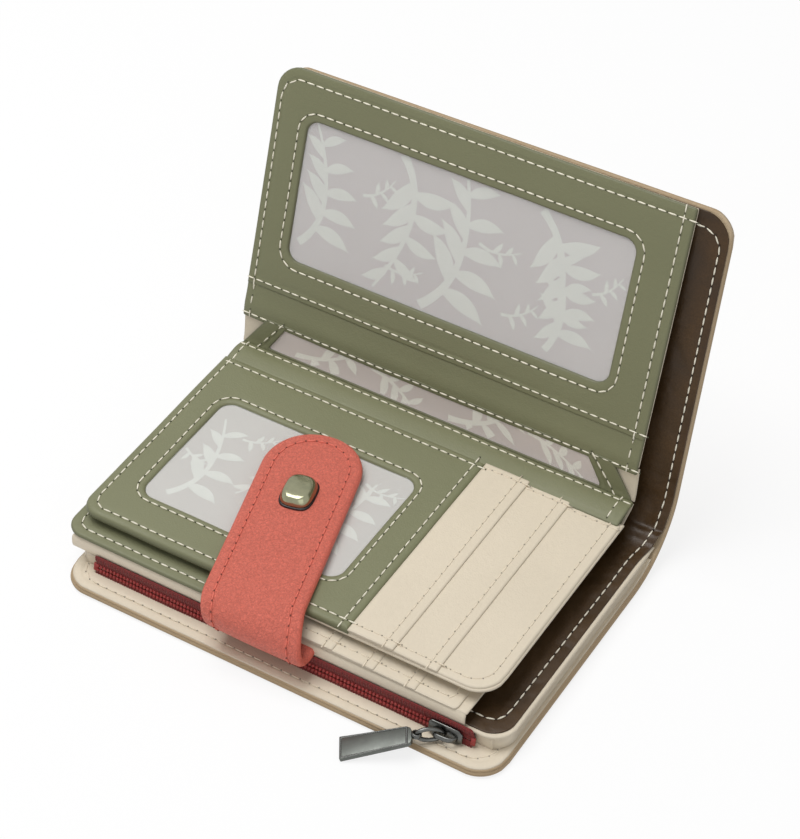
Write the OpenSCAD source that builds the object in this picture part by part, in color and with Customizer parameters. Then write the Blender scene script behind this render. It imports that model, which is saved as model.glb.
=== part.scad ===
// Coupon organizer wallet, standing open on its lower cover.
// X runs along the spine, +Y goes back to the spine and +Z is up.
// The origin is the centre of the lower cover's underside.

/* [Cover] */
// Length of the wallet along its spine
cover_l = 145; // [138:1:160]
// Depth of the lower cover, from its front edge to the lower fold
lower_d = 89; // [86:0.5:95]
// Width of the spine between its two folds
spine_w = 28.5; // [28:0.5:34]
// Height of the upper cover above the upper fold
upper_d = 84; // [82:0.5:92]
// Thickness of the outer cover
cover_t = 1.6; // [1.2:0.1:2]
// Radius of the cover's free corners
cover_r = 9; // [5:0.5:12]
// Clearance between a fold's round end and the panel beside it
fold_gap = 0.3; // [0.2:0.05:0.5]
// Angle of the spine above the table as the wallet stands open
spine_rest = 54; // [52:1:56]
// Angle of the upper cover above the table as the wallet stands open
upper_rest = 74; // [71:1:77]
// Angle of the spine above the table when the wallet is closed
spine_closed = 85; // [84:0.5:88]

/* [Coin pocket] */
// How far the coin pocket's floor lining stays inside the cover's edge
floor_in = 1.2; // [0.8:0.1:2]
// Thickness of the floor lining
floor_t = 0.8; // [0.6:0.1:1]
// Height inside the coin pocket
coin_h = 4.2; // [4.1:0.1:4.6]
// Thickness of the coin pocket's roof
roof_t = 0.8; // [0.6:0.1:1]
// Distance from the cover's front edge to the roof's front edge
roof_y = 8.7; // [8.5:0.1:9.2]
// Thickness of a folded side wall
gusset_t = 0.4; // [0.3:0.05:0.6]
// How far a side wall folds inwards
gusset_in = 2.2; // [1.5:0.1:3]

/* [Note compartment] */
// Thickness of the brown liner
liner_t = 0.4; // [0.3:0.05:0.5]
// How far the liner stays inside the cover's edge
liner_in = 2; // [1.2:0.1:3]
// Distance from the cover's front edge to the liner's front edge
liner_y = 9.8; // [9.6:0.1:10.6]
// Height inside the note compartment
note_h = 4.1; // [4.1:0.1:4.6]
// Thickness of the inner wall over the note compartment
wall_t = 0.5; // [0.4:0.05:0.7]
// Distance from the wallet's left end to the inner wall's right edge
wall_x1 = 134.2; // [130:0.2:136]

/* [Leaves] */
// Distance from the cover's front edge to the second leaf's front edge
leaf2_y = 9; // [8.8:0.1:9.6]
// Distance from the left end to the second leaf's right edge
leaf2_x1 = 128.6; // [126:0.2:132]
// Distance from the left end to the second leaf's first card pocket
leaf2_split = 76; // [70:0.5:80]
// Thickness of the second leaf
leaf2_t = 1.2; // [1:0.1:1.6]
// Gap between the two leaves
leaf_gap = 1.7; // [0.7:0.1:2.5]
// Distance from the cover's front edge to the top leaf's front edge
leaf_y = 14; // [13:0.5:16]
// Distance from the left end to the top leaf's left edge
leaf_x0 = 1; // [0.5:0.1:2]
// Distance from the left end to the top leaf's right edge
leaf_x1 = 136; // [134:0.5:138]
// Radius of the top leaf's front corners
leaf_r = 6; // [4:0.5:8]
// Distance from the left end to the hemmed edge between window and card pockets
leaf_split = 91.4; // [89:0.2:94]
// Thickness of the top leaf's backing
backing_t = 0.8; // [0.6:0.1:1]
// Thickness of one card pocket strip
pocket_t = 0.55; // [0.5:0.05:0.6]
// Distance between the edges of two card pockets on the top leaf
pocket_step = 13.9; // [13:0.1:14.5]
// Distance between the edges of two card pockets on the second leaf
pocket2_step = 13.15; // [12.5:0.05:13.5]
// Width of the strip that hinges the top leaf
strip_w = 6.6; // [5.5:0.1:7]
// Clearance between the leaves' rear edge and the closed spine
deck_gap = 0.3; // [0.2:0.05:0.5]

/* [Windows] */
// Distance from the left end to the top leaf's window
win_x0 = 13.4; // [12:0.2:16]
// Length of the top leaf's window
win_l = 64.8; // [60:0.2:68]
// Distance from the front edge of the cover to the top leaf's window
win_y0 = 29.5; // [28:0.2:31]
// Depth of the top leaf's window
win_d = 42.2; // [39:0.2:44]
// Radius of a window's corners
win_r = 4; // [3:0.5:5]
// Margin of clear film held under the frame all round a window
film_margin = 2.4; // [2:0.1:3]
// Thickness of the clear film
film_t = 0.3; // [0.25:0.05:0.4]
// Thickness of the frame's lip over the film
lip_t = 0.5; // [0.4:0.05:0.6]
// Thickness of the printed card behind the film
insert_t = 0.4; // [0.3:0.05:0.5]

/* [Page on the upper cover] */
// Height of the page above its hem
page_h = 80.5; // [78:0.5:82]
// Distance from the upper fold to the page's hem
page_u = 2.4; // [2.2:0.1:3]
// Gap between the brown liner and the page at the hem
page_lift = 4.8; // [4:0.1:5.4]
// Thickness of the page
page_t = 1.6; // [1.4:0.1:1.8]
// Distance from the left end to the page's left edge
page_x0 = 0.5; // [0.3:0.1:1.5]
// Radius of the page's upper left corner
page_r = 8; // [6:0.5:10]
// Height of the band between the hem and the pleat
band_h = 9.8; // [9:0.1:11]
// Distance from the left end to the page's window
page_win_x0 = 12.8; // [12:0.2:15]
// Length of the page's window
page_win_l = 106.6; // [102:0.2:108]
// Height of the window's lower edge above the hem
page_win_s0 = 22; // [21:0.2:24]
// Height of the page's window
page_win_h = 43.6; // [40:0.2:45]

/* [Zip] */
// Distance from the cover's front edge to the foot of the zip
zip_y = 7.3; // [7.1:0.1:7.6]
// Angle of the zip above the table
zip_tilt = 76; // [74:1:78]
// Distance from the left end to the zip's left end
zip_x0 = 9.4; // [8:0.2:12]
// Distance from the left end to the zip's right end
zip_x1 = 135.4; // [134.5:0.2:136]
// Thickness of the zip's tape
tape_t = 0.4; // [0.3:0.05:0.5]
// Width of the tape that is sewn down inside the pocket
tape_w = 6; // [5:0.5:8]
// Thickness of the rows of teeth
teeth_t = 1.5; // [1.3:0.1:1.6]
// Distance between two teeth of one row
tooth_pitch = 2; // [1.8:0.1:2.4]
// Length of the slider
slider_l = 10.5; // [10:0.5:11]
// Width of the slider's front plate
slider_w = 4.8; // [4.4:0.1:5]
// Thickness of a slider plate
slider_t = 0.8; // [0.6:0.1:0.9]
// Distance from the left end to the closed slider's left end
slider_x = 121.5; // [120:0.5:122]

/* [Zip pull] */
// Radius of the ring's wire
wire_r = 0.6; // [0.5:0.05:0.65]
// Distance between the ring's two end bars
ring_l = 7.2; // [6.5:0.1:8]
// Distance between the ring's two long bars
ring_w = 3.2; // [3.1:0.05:3.4]
// Angle of the ring out of the zip's plane at rest
ring_rest = 40; // [35:1:45]
// Length of the pull tab
tab_l = 21.4; // [18:0.2:24]
// Width of the pull tab at its free end
tab_w = 7.8; // [7:0.1:9]
// Thickness of the pull tab
tab_t = 1.2; // [1:0.1:1.4]
// Direction of the tab in the table's plane
tab_yaw = 212; // [208:1:216]
// Angle at which the tab slopes down to the table
tab_drop = 15; // [13:0.5:16]
// Radial clearance between a pin and its eye
pin_gap = 0.15; // [0.1:0.05:0.2]

/* [Strap] */
// Distance from the left end to the middle of the strap's bend
strap_x = 65.3; // [60:0.5:72]
// Distance from the cover's front edge to the middle of the strap's bend
strap_y = 5.3; // [5:0.1:6]
// Angle at which the strap lies across the leaf
strap_skew = 15.4; // [10:0.2:18]
// Width of the strap
strap_w = 29.6; // [26:0.2:31]
// Thickness of the strap
strap_t = 2.2; // [1.8:0.1:2.4]
// Length of the strap's tongue beyond the bend
tongue_l = 70; // [66:0.5:74]
// Distance from the bend to the snap
snap_l = 44.3; // [42:0.5:48]
// Clearance between the strap and the leaf under it
strap_gap = 0.3; // [0.2:0.05:0.5]
// Width of the snap's cap
cap_w = 11.4; // [10:0.1:12.5]
// Height of the snap's cap above the strap
cap_h = 2.4; // [2:0.1:3]
// Radius of the snap's post
post_r = 1.5; // [1.2:0.1:1.8]
// Radius of the stud's head
stud_r = 2.2; // [2:0.1:2.5]
// Distance from the upper fold to the stud
stud_u = 56; // [50:1:62]

/* [Hidden] */
$fn = 48;
// Columns of the stack on the lower cover, from the table up
z_floor = cover_t;
z_coin = z_floor + floor_t;
z_roof = z_coin + coin_h;
z_liner = z_roof + roof_t;
z_note = z_liner + liner_t;
z_wall = z_note + note_h;
z_leaf2 = z_wall + wall_t;
z_leaf = z_leaf2 + leaf2_t + leaf_gap;
z_pockets = z_leaf + backing_t;
top_pockets = 3;
second_pockets = 4;
z_top = z_pockets + (top_pockets + 1) * pocket_t;
// Printed board under the top leaf's film
board_t = z_top - z_pockets - lip_t - film_t - 0.02;
// Inner face of the closed spine at a height, which the stack stays in front of
spine_face_t = cover_t / 2 + liner_t;
function spine_face(z) = lower_d - spine_face_t / sin(spine_closed)
    + (z - cover_t / 2) / tan(spine_closed);
deck_y1 = spine_face(z_coin) - deck_gap;
leaf2_y1 = spine_face(z_leaf2) - deck_gap;
leaf_y1 = spine_face(z_leaf) - deck_gap;
// The two folds, at the middle of the cover's thickness
fold1 = [lower_d, cover_t / 2];
fold2 = fold1 + spine_w * [cos(spine_rest), sin(spine_rest)];
panel_gap = cover_t / 2 + fold_gap;
liner_end = 3;
// The page leans so that its top edge meets the liner
page_seat = 0.1;
page_w0 = spine_face_t + page_lift;
page_lean = asin((page_lift - page_seat) / page_h);
function upper_pt(u, w) = fold2 + u * [cos(upper_rest), sin(upper_rest)]
    + w * [-sin(upper_rest), cos(upper_rest)];
function page_pt(s, q) = upper_pt(
    page_u + s * cos(page_lean) + q * sin(page_lean),
    page_w0 - s * sin(page_lean) + q * cos(page_lean));
page_core = 0.5;
page_win_x1 = page_win_x0 + page_win_l;
// The sheets in the gap between the leaves and the page
sheet_t = 0.6;
hinge_low = [leaf2_y1 + deck_gap, z_leaf2 + 0.7];
hinge_bend = [page_pt(0, 0)[0] - 4, z_leaf + 1.6];
hinge_high = page_pt(-0.3, page_core + sheet_t);
hinge_path = [hinge_low, hinge_bend, hinge_high];
// Point on the sheets' upper half, as a share of the way from the bend to the page
function hinge_pt(share) = hinge_bend + share * (hinge_high - hinge_bend);
gap_win = [0.12, 0.92];
// Zip plane: rows of teeth between two tapes, from the foot up
zip_foot = 0.05;
zip_h = (coin_h - 2 * zip_foot) / sin(zip_tilt);
row_w = 1.3;
row_gap = 0.2;
row_mid = zip_h / 2;
slider_gap = 0.25;
plate_n = teeth_t / 2 + slider_gap;
back_w = 2.2;
// The front plate starts just clear of the floor lining
plate_v0 = 0.15;
crown_h = 2.3;
crown_w = 1.5;
ring_v = row_mid - 0.1;
ring_n = plate_n + slider_t + wire_r + 0.12;
ring_x = slider_x + 5;
teeth_x1 = slider_x + 4.6;
stop_l = 1.6;
// Strap bend, a half circle round the front edges of the leaves
tongue_z = z_top + strap_gap + strap_t / 2;
root_z = z_note + strap_t / 2 + 0.8;
bend_z = (tongue_z + root_z) / 2;
bend_r = (tongue_z - root_z) / 2;
seam_y = 10;
seam_t = 0.6;

// Points of an arc about a centre, or the centre alone for no radius
function arc(c, r, a0, a1, n = 8) = r <= 0 ? [c]
    : [for (i = [0:n]) c + r * [cos(a0 + (a1 - a0) * i / n), sin(a0 + (a1 - a0) * i / n)]];

// Outline of a rectangle with a radius for each corner, front left first
function outline(x0, y0, x1, y1, r) = concat(
    arc([x0 + r[0], y0 + r[0]], r[0], 180, 270),
    arc([x1 - r[1], y0 + r[1]], r[1], 270, 360),
    arc([x1 - r[2], y1 - r[2]], r[2], 0, 90),
    arc([x0 + r[3], y1 - r[3]], r[3], 90, 180));

// Flat plate with its corners' radii
module plate(x0, y0, x1, y1, z0, t, r = [0, 0, 0, 0]) {
    translate([0, 0, z0])
        linear_extrude(t)
            polygon(outline(x0, y0, x1, y1, r));
}

function unit(v) = v / norm(v);
function left_of(v) = [-v[1], v[0]];
function corner_of(a, b) = (a + b) / (1 + a * b);
function side_of(p, i) = let (n = len(p) - 1)
    i == 0 ? left_of(unit(p[1] - p[0]))
    : i == n ? left_of(unit(p[n] - p[n - 1]))
    : corner_of(left_of(unit(p[i] - p[i - 1])), left_of(unit(p[i + 1] - p[i])));
function shifted(p, d) = [for (i = [0:len(p) - 1]) p[i] + d * side_of(p, i)];
function reversed(p) = [for (i = [len(p) - 1:-1:0]) p[i]];

// Sheet that follows a path in the Y-Z plane, between two offsets to its left
module sheet(path, d0, d1, x0, x1) {
    translate([x0, 0, 0])
        rotate([90, 0, 90])
            linear_extrude(x1 - x0)
                polygon(concat(shifted(path, d0), reversed(shifted(path, d1))));
}

// Places of the folded panels, the page, the zip and the strap
module at_spine() {
    translate([0, fold1[0], fold1[1]])
        rotate([spine_rest, 0, 0])
            children();
}
module at_upper() {
    translate([0, fold2[0], fold2[1]])
        rotate([upper_rest, 0, 0])
            children();
}
module at_page() {
    at_upper()
        translate([0, page_u, page_w0])
            rotate([-page_lean, 0, 0])
                children();
}
module at_zip() {
    translate([0, zip_y, z_coin + zip_foot])
        rotate([zip_tilt, 0, 0])
            children();
}
module at_strap() {
    translate([strap_x, strap_y, 0])
        rotate([0, 0, strap_skew])
            children();
}
module placed() {
    translate([-cover_l / 2, -lower_d / 2, 0])
        children();
}

// Outer cover and liners

module lower_cover() {
    color("tan")
        plate(0, 0, cover_l, lower_d - panel_gap, 0, cover_t, [cover_r, cover_r, 0, 0]);
}

module spine_cover() {
    color("tan")
        at_spine() {
            for (u = [0, spine_w])
                translate([0, u, 0])
                    rotate([0, 90, 0])
                        cylinder(r = cover_t / 2, h = cover_l);
            translate([0, 0, -cover_t / 2])
                cube([cover_l, spine_w, cover_t]);
        }
}

module spine_liner() {
    color("saddlebrown")
        at_spine()
            plate(liner_in, liner_end, cover_l - liner_in, spine_w - liner_end,
                cover_t / 2, liner_t);
}

module upper_cover() {
    color("tan")
        at_upper()
            plate(0, panel_gap, cover_l, upper_d, -cover_t / 2, cover_t,
                [0, 0, cover_r, cover_r]);
}

module upper_liner() {
    color("saddlebrown")
        at_upper()
            plate(liner_in, liner_end, cover_l - liner_in, upper_d - liner_in,
                cover_t / 2, liner_t, [0, 0, cover_r - liner_in, cover_r - liner_in]);
}

// Coin pocket

module pocket_floor() {
    r = cover_r - floor_in;
    color("wheat")
        plate(floor_in, floor_in, cover_l - floor_in, deck_y1, z_floor, floor_t, [r, r, 0, 0]);
}

module pocket_roof() {
    color("wheat")
        plate(floor_in, roof_y, cover_l - floor_in, deck_y1, z_roof, roof_t,
            [leaf_r, leaf_r, 0, 0]);
}

// A side wall folded inwards; dir is 1 at the left end and -1 at the right end
module gusset(x, dir) {
    path = [[0, 0], [gusset_in, coin_h / 2], [0, coin_h]];
    translate([x, 0, z_coin])
        scale([dir, 1, 1])
            translate([0, deck_y1 - seam_t, 0])
                rotate([90, 0, 0])
                    linear_extrude(deck_y1 - seam_t - roof_y - cover_r)
                        polygon(concat(path, reversed([for (p = path) p + [gusset_t, 0]])));
}

module pocket_back_seam() {
    color("wheat")
        translate([floor_in, deck_y1 - seam_t, z_coin])
            cube([cover_l - 2 * floor_in, seam_t, coin_h]);
}

module gusset_left() {
    color("antiquewhite")
        gusset(floor_in, 1);
}

module gusset_right() {
    color("antiquewhite")
        mirror([1, 0, 0])
            translate([-cover_l, 0, 0])
                gusset(floor_in, 1);
}

// Zip

function zip_pt(v) = [zip_y + v * cos(zip_tilt), z_coin + zip_foot + v * sin(zip_tilt)];

// Tape that runs back along the height z and turns into the zip's plane, up to v
module zip_tape(z, v) {
    turn = zip_pt((z - z_coin - zip_foot) / sin(zip_tilt));
    color("firebrick")
        sheet([turn + [tape_w, 0], turn, zip_pt(v)], tape_t / 2, -tape_t / 2, zip_x0, zip_x1);
}

module zip_tape_lower() {
    zip_tape(z_coin + tape_t / 2, row_mid - row_gap / 2 - row_w);
}

module zip_tape_upper() {
    zip_tape(z_roof - tape_t / 2, row_mid + row_gap / 2 + row_w);
}

// One row of teeth as a comb that points to +Y, in the zip's plane
module teeth_row(first) {
    back = row_w / 2;
    count = floor((teeth_x1 - zip_x0 - stop_l - first) / tooth_pitch);
    translate([0, 0, -teeth_t / 2])
        linear_extrude(teeth_t) {
            translate([zip_x0 + stop_l, 0])
                square([teeth_x1 - zip_x0 - stop_l, back]);
            for (i = [0:count - 1])
                translate([zip_x0 + stop_l + first + i * tooth_pitch, back])
                    square([tooth_pitch * 0.4, row_w - back]);
        }
}

module zip_teeth_lower() {
    color("indianred")
        at_zip()
            translate([0, row_mid - row_gap / 2 - row_w, 0])
                teeth_row(tooth_pitch * 0.1);
}

module zip_teeth_upper() {
    color("indianred")
        at_zip()
            translate([0, row_mid + row_gap / 2 + row_w, 0])
                mirror([0, 1, 0])
                    teeth_row(tooth_pitch * 0.6);
}

module zip_stops() {
    long = 2 * row_w + row_gap;
    color("firebrick")
        at_zip()
            for (x = [zip_x0, zip_x1 - stop_l])
                translate([x, row_mid - long / 2, -teeth_t / 2])
                    cube([stop_l - 0.1, long, teeth_t]);
}

module zip_slider() {
    v0 = plate_v0;
    back_v0 = row_mid - back_w / 2;
    wedge_x = teeth_x1 + 1.2;
    color("dimgray")
        at_zip() {
            translate([slider_x, v0, plate_n])
                cube([slider_l, slider_w, slider_t]);
            translate([slider_x, back_v0, -plate_n - slider_t])
                cube([slider_l, back_w, slider_t]);
            translate([wedge_x, row_mid - 0.7, -plate_n - 0.1])
                cube([slider_x + slider_l - wedge_x - 0.6, 1.4, 2 * plate_n + 0.2]);
            difference() {
                translate([slider_x + 1.6, ring_v - crown_w / 2, plate_n + slider_t - 0.1])
                    cube([slider_l - 3.2, crown_w, crown_h + 0.1]);
                translate([ring_x, ring_v, ring_n])
                    rotate([90, 0, 0])
                        cylinder(r = wire_r + pin_gap, h = 2 * crown_w, center = true);
                translate([ring_x - wire_r - pin_gap, ring_v - crown_w, plate_n + slider_t])
                    cube([2 * (wire_r + pin_gap), 2 * crown_w,
                        ring_n - plate_n - slider_t]);
            }
        }
}

// Zip pull: a ring of wire whose near bar lies under the crown
module at_ring() {
    at_zip()
        translate([ring_x, ring_v, ring_n])
            rotate([0, ring_rest, 0])
                rotate([0, 0, 180])
                    children();
}

module pull_ring() {
    bend = 0.9;
    half = ring_w / 2;
    color("gray")
        at_ring() {
            for (x = [0, ring_l])
                translate([x, -half + bend, 0])
                    rotate([-90, 0, 0])
                        cylinder(r = wire_r, h = ring_w - 2 * bend);
            for (y = [-half, half])
                translate([bend, y, 0])
                    rotate([0, 90, 0])
                        cylinder(r = wire_r, h = ring_l - 2 * bend);
            for (x = [0, 1], y = [0, 1])
                translate([x * ring_l, (2 * y - 1) * half, 0])
                    mirror([x, 0, 0])
                        mirror([0, y, 0])
                            translate([bend, bend, 0])
                                rotate([0, 0, 180])
                                    rotate_extrude(angle = 90)
                                        translate([bend, 0])
                                            circle(r = wire_r);
        }
}

module pull_tab() {
    eye_w = ring_w - 2 * wire_r - 0.4;
    eye_r = wire_r + pin_gap + 0.7;
    end = at_ring_end();
    color("gray") {
        difference() {
            union() {
                at_ring()
                    translate([ring_l, 0, 0])
                        rotate([90, 0, 0])
                            cylinder(r = eye_r, h = eye_w, center = true);
                translate(end)
                    rotate([0, tab_drop, tab_yaw])
                        translate([0, 0, -tab_t / 2])
                            linear_extrude(tab_t)
                                polygon([[0.9, -0.9], [3, -0.45 * tab_w], [tab_l, -tab_w / 2],
                                    [tab_l, tab_w / 2], [3, 0.45 * tab_w], [0.9, 0.9]]);
            }
            at_ring()
                translate([ring_l, 0, 0])
                    rotate([90, 0, 0])
                        cylinder(r = wire_r + pin_gap, h = 3 * eye_w, center = true);
            at_ring()
                for (y = [-1, 1])
                    translate([ring_l / 2, y * (eye_w / 2 + ring_w / 2), 0])
                        cube([ring_l + 2 * eye_r + 1, ring_w, 6], center = true);
        }
    }
}

// Middle of the ring's far bar, in the wallet's frame
function at_ring_end() = let (
        n = ring_n + ring_l * sin(ring_rest),
        x = ring_x - ring_l * cos(ring_rest))
    [x, zip_y + ring_v * cos(zip_tilt) - n * sin(zip_tilt),
        z_coin + zip_foot + ring_v * sin(zip_tilt) + n * cos(zip_tilt)];

// Note compartment

module note_liner_lower() {
    color("saddlebrown")
        plate(liner_in, liner_y, cover_l - liner_in, deck_y1, z_liner, liner_t,
            [leaf_r, leaf_r, 0, 0]);
}

module inner_wall() {
    color("wheat")
        plate(page_x0, seam_y, wall_x1, leaf2_y1, z_wall, wall_t);
}

module wall_front_seam() {
    color("wheat")
        translate([liner_in + leaf_r, seam_y, z_note])
            cube([leaf2_x1 - liner_in - leaf_r, seam_t, note_h]);
}

module wall_side_seam() {
    color("wheat")
        translate([liner_in, seam_y + leaf_r, z_note])
            cube([seam_t, deck_y1 - seam_y - leaf_r, note_h]);
}

// Second leaf

module second_leaf_page() {
    color("darkolivegreen")
        plate(page_x0, leaf2_y, leaf2_split, leaf2_y1, z_leaf2, leaf2_t, [leaf_r, 0, 0, 0]);
}

// Pocket 1 is the uppermost strip, and each one below it reaches a step further right
module second_pocket(i) {
    t = leaf2_t / second_pockets;
    x1 = leaf2_x1 - (second_pockets - i) * pocket2_step;
    color("wheat")
        plate(leaf2_split, leaf2_y, x1, leaf2_y1, z_leaf2 + (second_pockets - i) * t, t);
}

// Top leaf

module top_leaf_backing() {
    color("wheat")
        plate(leaf_x0, leaf_y, leaf_x1, leaf_y1, z_leaf, backing_t, [leaf_r, leaf_r, 0, 0]);
}

module top_pocket(i) {
    x1 = leaf_x1 - 0.4 - (top_pockets - i) * pocket_step;
    color("wheat")
        plate(leaf_split - 6, leaf_y + 0.4, x1, leaf_y1, z_pockets + (top_pockets - i) * pocket_t,
            pocket_t, [0, i == top_pockets ? leaf_r - 0.4 : 0, 0, 0]);
}

// Outline of the top leaf's window, grown all round
module window_shape(grow) {
    r = win_r + grow;
    polygon(outline(win_x0 - grow, win_y0 - grow, win_x0 + win_l + grow,
        win_y0 + win_d + grow, [r, r, r, r]));
}

module top_leaf_frame() {
    block_x1 = leaf_split - 6;
    color("darkolivegreen")
        difference() {
            union() {
                plate(leaf_x0 + 0.3, leaf_y + 0.3, block_x1, leaf_y1, z_pockets,
                    z_top - z_pockets, [leaf_r - 0.3, 0, 0, 0]);
                plate(block_x1 - 1, leaf_y + 0.3, leaf_split, leaf_y1, z_top - pocket_t, pocket_t);
            }
            translate([0, 0, z_pockets - 1])
                linear_extrude(z_top)
                    window_shape(0);
            translate([0, 0, z_pockets - 1])
                linear_extrude(1 + board_t + film_t + 0.02)
                    window_shape(film_margin);
        }
}

module top_leaf_insert() {
    color("thistle")
        translate([0, 0, z_pockets])
            linear_extrude(board_t)
                window_shape(film_margin - 0.2);
}

module top_leaf_film() {
    color("lightcyan")
        translate([0, 0, z_pockets + board_t])
            linear_extrude(film_t)
                window_shape(film_margin - 0.2);
}

// Sheets that cross the gap in front of the spine

module hinge_strip() {
    y0 = leaf_y1 + 0.1;
    color("darkolivegreen")
        sheet([[y0, z_top], [y0 + strip_w / 2, z_top - 0.1], [y0 + strip_w, z_top - 0.8]],
            0, -sheet_t, leaf_x0 + 1, leaf_x1 - 1);
}

module inner_page() {
    color("darkolivegreen")
        difference() {
            sheet(hinge_path, 0, -sheet_t, page_x0 + 0.5, wall_x1 - 3);
            sheet([hinge_pt(gap_win[0]), hinge_pt(gap_win[1])], sheet_t, -2 * sheet_t,
                page_win_x0, page_win_x1);
        }
}

module inner_page_insert() {
    color("thistle")
        sheet([hinge_pt(0.05), hinge_pt(0.99)], -sheet_t, -sheet_t - insert_t,
            page_win_x0 - film_margin, page_win_x1 + film_margin);
}

module inner_page_film() {
    color("lightcyan")
        sheet([hinge_pt(gap_win[0] + 0.01), hinge_pt(gap_win[1] - 0.01)],
            film_t - sheet_t, -sheet_t, page_win_x0 + 0.1, page_win_x1 - 0.1);
}

module wall_hinge() {
    back = -sheet_t - insert_t;
    color("wheat")
        sheet(hinge_path, back - 0.02, back - wall_t, page_x0, wall_x1);
}

// Page on the upper cover

module page_side_wall() {
    wedge = [[0, spine_face_t], [page_h - 4, spine_face_t],
        [page_h - 4, spine_face_t + page_lift - (page_h - 4) * tan(page_lean)],
        [0, spine_face_t + page_lift]];
    color("darkolivegreen")
        at_upper()
            translate([liner_in, page_u + 1, 0])
                rotate([90, 0, 90])
                    linear_extrude(seam_t)
                        polygon([for (p = wedge) p - [0, p[1] > spine_face_t ? 0.12 : 0]]);
}

module page_backing() {
    color("wheat")
        at_page()
            plate(page_x0, 0, wall_x1, page_h, 0, page_core, [0, 0, 0, page_r]);
}

module page_window_shape(grow) {
    r = win_r + grow;
    polygon(outline(page_win_x0 - grow, page_win_s0 - grow, page_win_x1 + grow,
        page_win_s0 + page_win_h + grow, [r, r, r, r]));
}

module page_frame() {
    color("darkolivegreen")
        at_page()
            difference() {
                plate(page_x0, band_h, wall_x1 - 0.4, page_h, page_core, page_t - page_core,
                    [0, 0, 0, page_r]);
                linear_extrude(2 * page_t)
                    page_window_shape(0);
                linear_extrude(page_core + insert_t + film_t + 0.05)
                    page_window_shape(film_margin);
            }
}

module page_band() {
    color("olivedrab")
        at_page()
            plate(page_x0, 0, wall_x1 - 0.4, band_h - 0.1, page_core, sheet_t);
}

module page_insert() {
    color("thistle")
        at_page()
            translate([0, 0, page_core])
                linear_extrude(insert_t)
                    page_window_shape(film_margin - 0.2);
}

module page_film() {
    color("lightcyan")
        at_page()
            translate([0, 0, page_core + insert_t])
                linear_extrude(film_t)
                    page_window_shape(film_margin - 0.2);
}

// Strap and snap

module strap_root() {
    path = concat([[seam_y - strap_y + 6, root_z], [0.5, root_z]],
        arc([0, bend_z], bend_r, 270, 90, 20));
    color("salmon")
        difference() {
            at_strap()
                sheet(path, strap_t / 2, -strap_t / 2, -strap_w / 2, strap_w / 2);
            translate([0, seam_y, 0])
                cube([cover_l, lower_d, bend_z - 1]);
        }
}

module strap() {
    r = strap_w / 2;
    color("salmon")
        at_strap()
            difference() {
                plate(-r, 0.3, r, tongue_l, tongue_z - strap_t / 2, strap_t, [0, 0, r, r]);
                translate([0, snap_l, tongue_z - strap_t])
                    cylinder(r = post_r + pin_gap, h = 2 * strap_t);
            }
}

module snap_cap() {
    top_z = tongue_z + strap_t / 2;
    color("gray")
        at_strap()
            translate([0, snap_l, 0])
                rotate([0, 0, 12]) {
                    for (k = [0:3])
                        let (w = cap_w / 2 - 0.5 * k * k / 3, r = 3.6 - 0.3 * k)
                            plate(-w, -w, w, w, top_z + k * cap_h / 4, cap_h / 4, [r, r, r, r]);
                    translate([0, 0, top_z - strap_t])
                        cylinder(r = post_r, h = strap_t + 0.2);
                }
}

module snap_socket() {
    low_z = z_pockets + board_t + film_t + 0.2;
    h = tongue_z - strap_t / 2 - low_z;
    color("gray")
        at_strap()
            translate([0, snap_l, low_z])
                difference() {
                    cylinder(r = stud_r + 2.4, h = h);
                    translate([0, 0, -0.1])
                        cylinder(r = stud_r + pin_gap, h = h - 0.3);
                }
}

module snap_stud() {
    color("gray")
        at_upper()
            translate([strap_x - 3, stud_u, -cover_t / 2])
                rotate([180, 0, 0]) {
                    cylinder(r = stud_r + 2, h = 0.5);
                    cylinder(r = stud_r - 0.4, h = 1.4);
                    translate([0, 0, 1.3])
                        cylinder(r = stud_r, h = 0.6);
                }
}

placed() lower_cover();
placed() pocket_floor();
placed() gusset_left();
placed() gusset_right();
placed() pocket_back_seam();
placed() pocket_roof();
placed() zip_tape_lower();
placed() zip_tape_upper();
placed() zip_teeth_lower();
placed() zip_teeth_upper();
placed() zip_stops();
placed() note_liner_lower();
placed() inner_wall();
placed() wall_front_seam();
placed() wall_side_seam();
placed() second_leaf_page();
placed() second_pocket(1);  // second_pocket_1
placed() second_pocket(2);  // second_pocket_2
placed() second_pocket(3);  // second_pocket_3
placed() second_pocket(4);  // second_pocket_4
placed() top_leaf_backing();
placed() top_leaf_frame();
placed() top_leaf_insert();
placed() top_leaf_film();
placed() top_pocket(1);  // top_pocket_1
placed() top_pocket(2);  // top_pocket_2
placed() top_pocket(3);  // top_pocket_3
placed() hinge_strip();
placed() inner_page();
placed() inner_page_insert();
placed() inner_page_film();
placed() wall_hinge();
placed() strap_root();
placed() spine_cover();
placed() spine_liner();
placed() upper_cover();
placed() upper_liner();
placed() page_side_wall();
placed() page_backing();
placed() page_frame();
placed() page_band();
placed() page_insert();
placed() page_film();
placed() snap_stud();
placed() strap();
placed() snap_cap();
placed() snap_socket();
placed() zip_slider();
placed() pull_ring();
placed() pull_tab();
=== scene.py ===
"""Looks of a coupon organizer wallet that stands open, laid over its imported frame."""

from math import cos, dist, exp, hypot, pi, radians, sin, sqrt, tan

import bmesh
import bpy
from mathutils import Matrix, Vector


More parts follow.
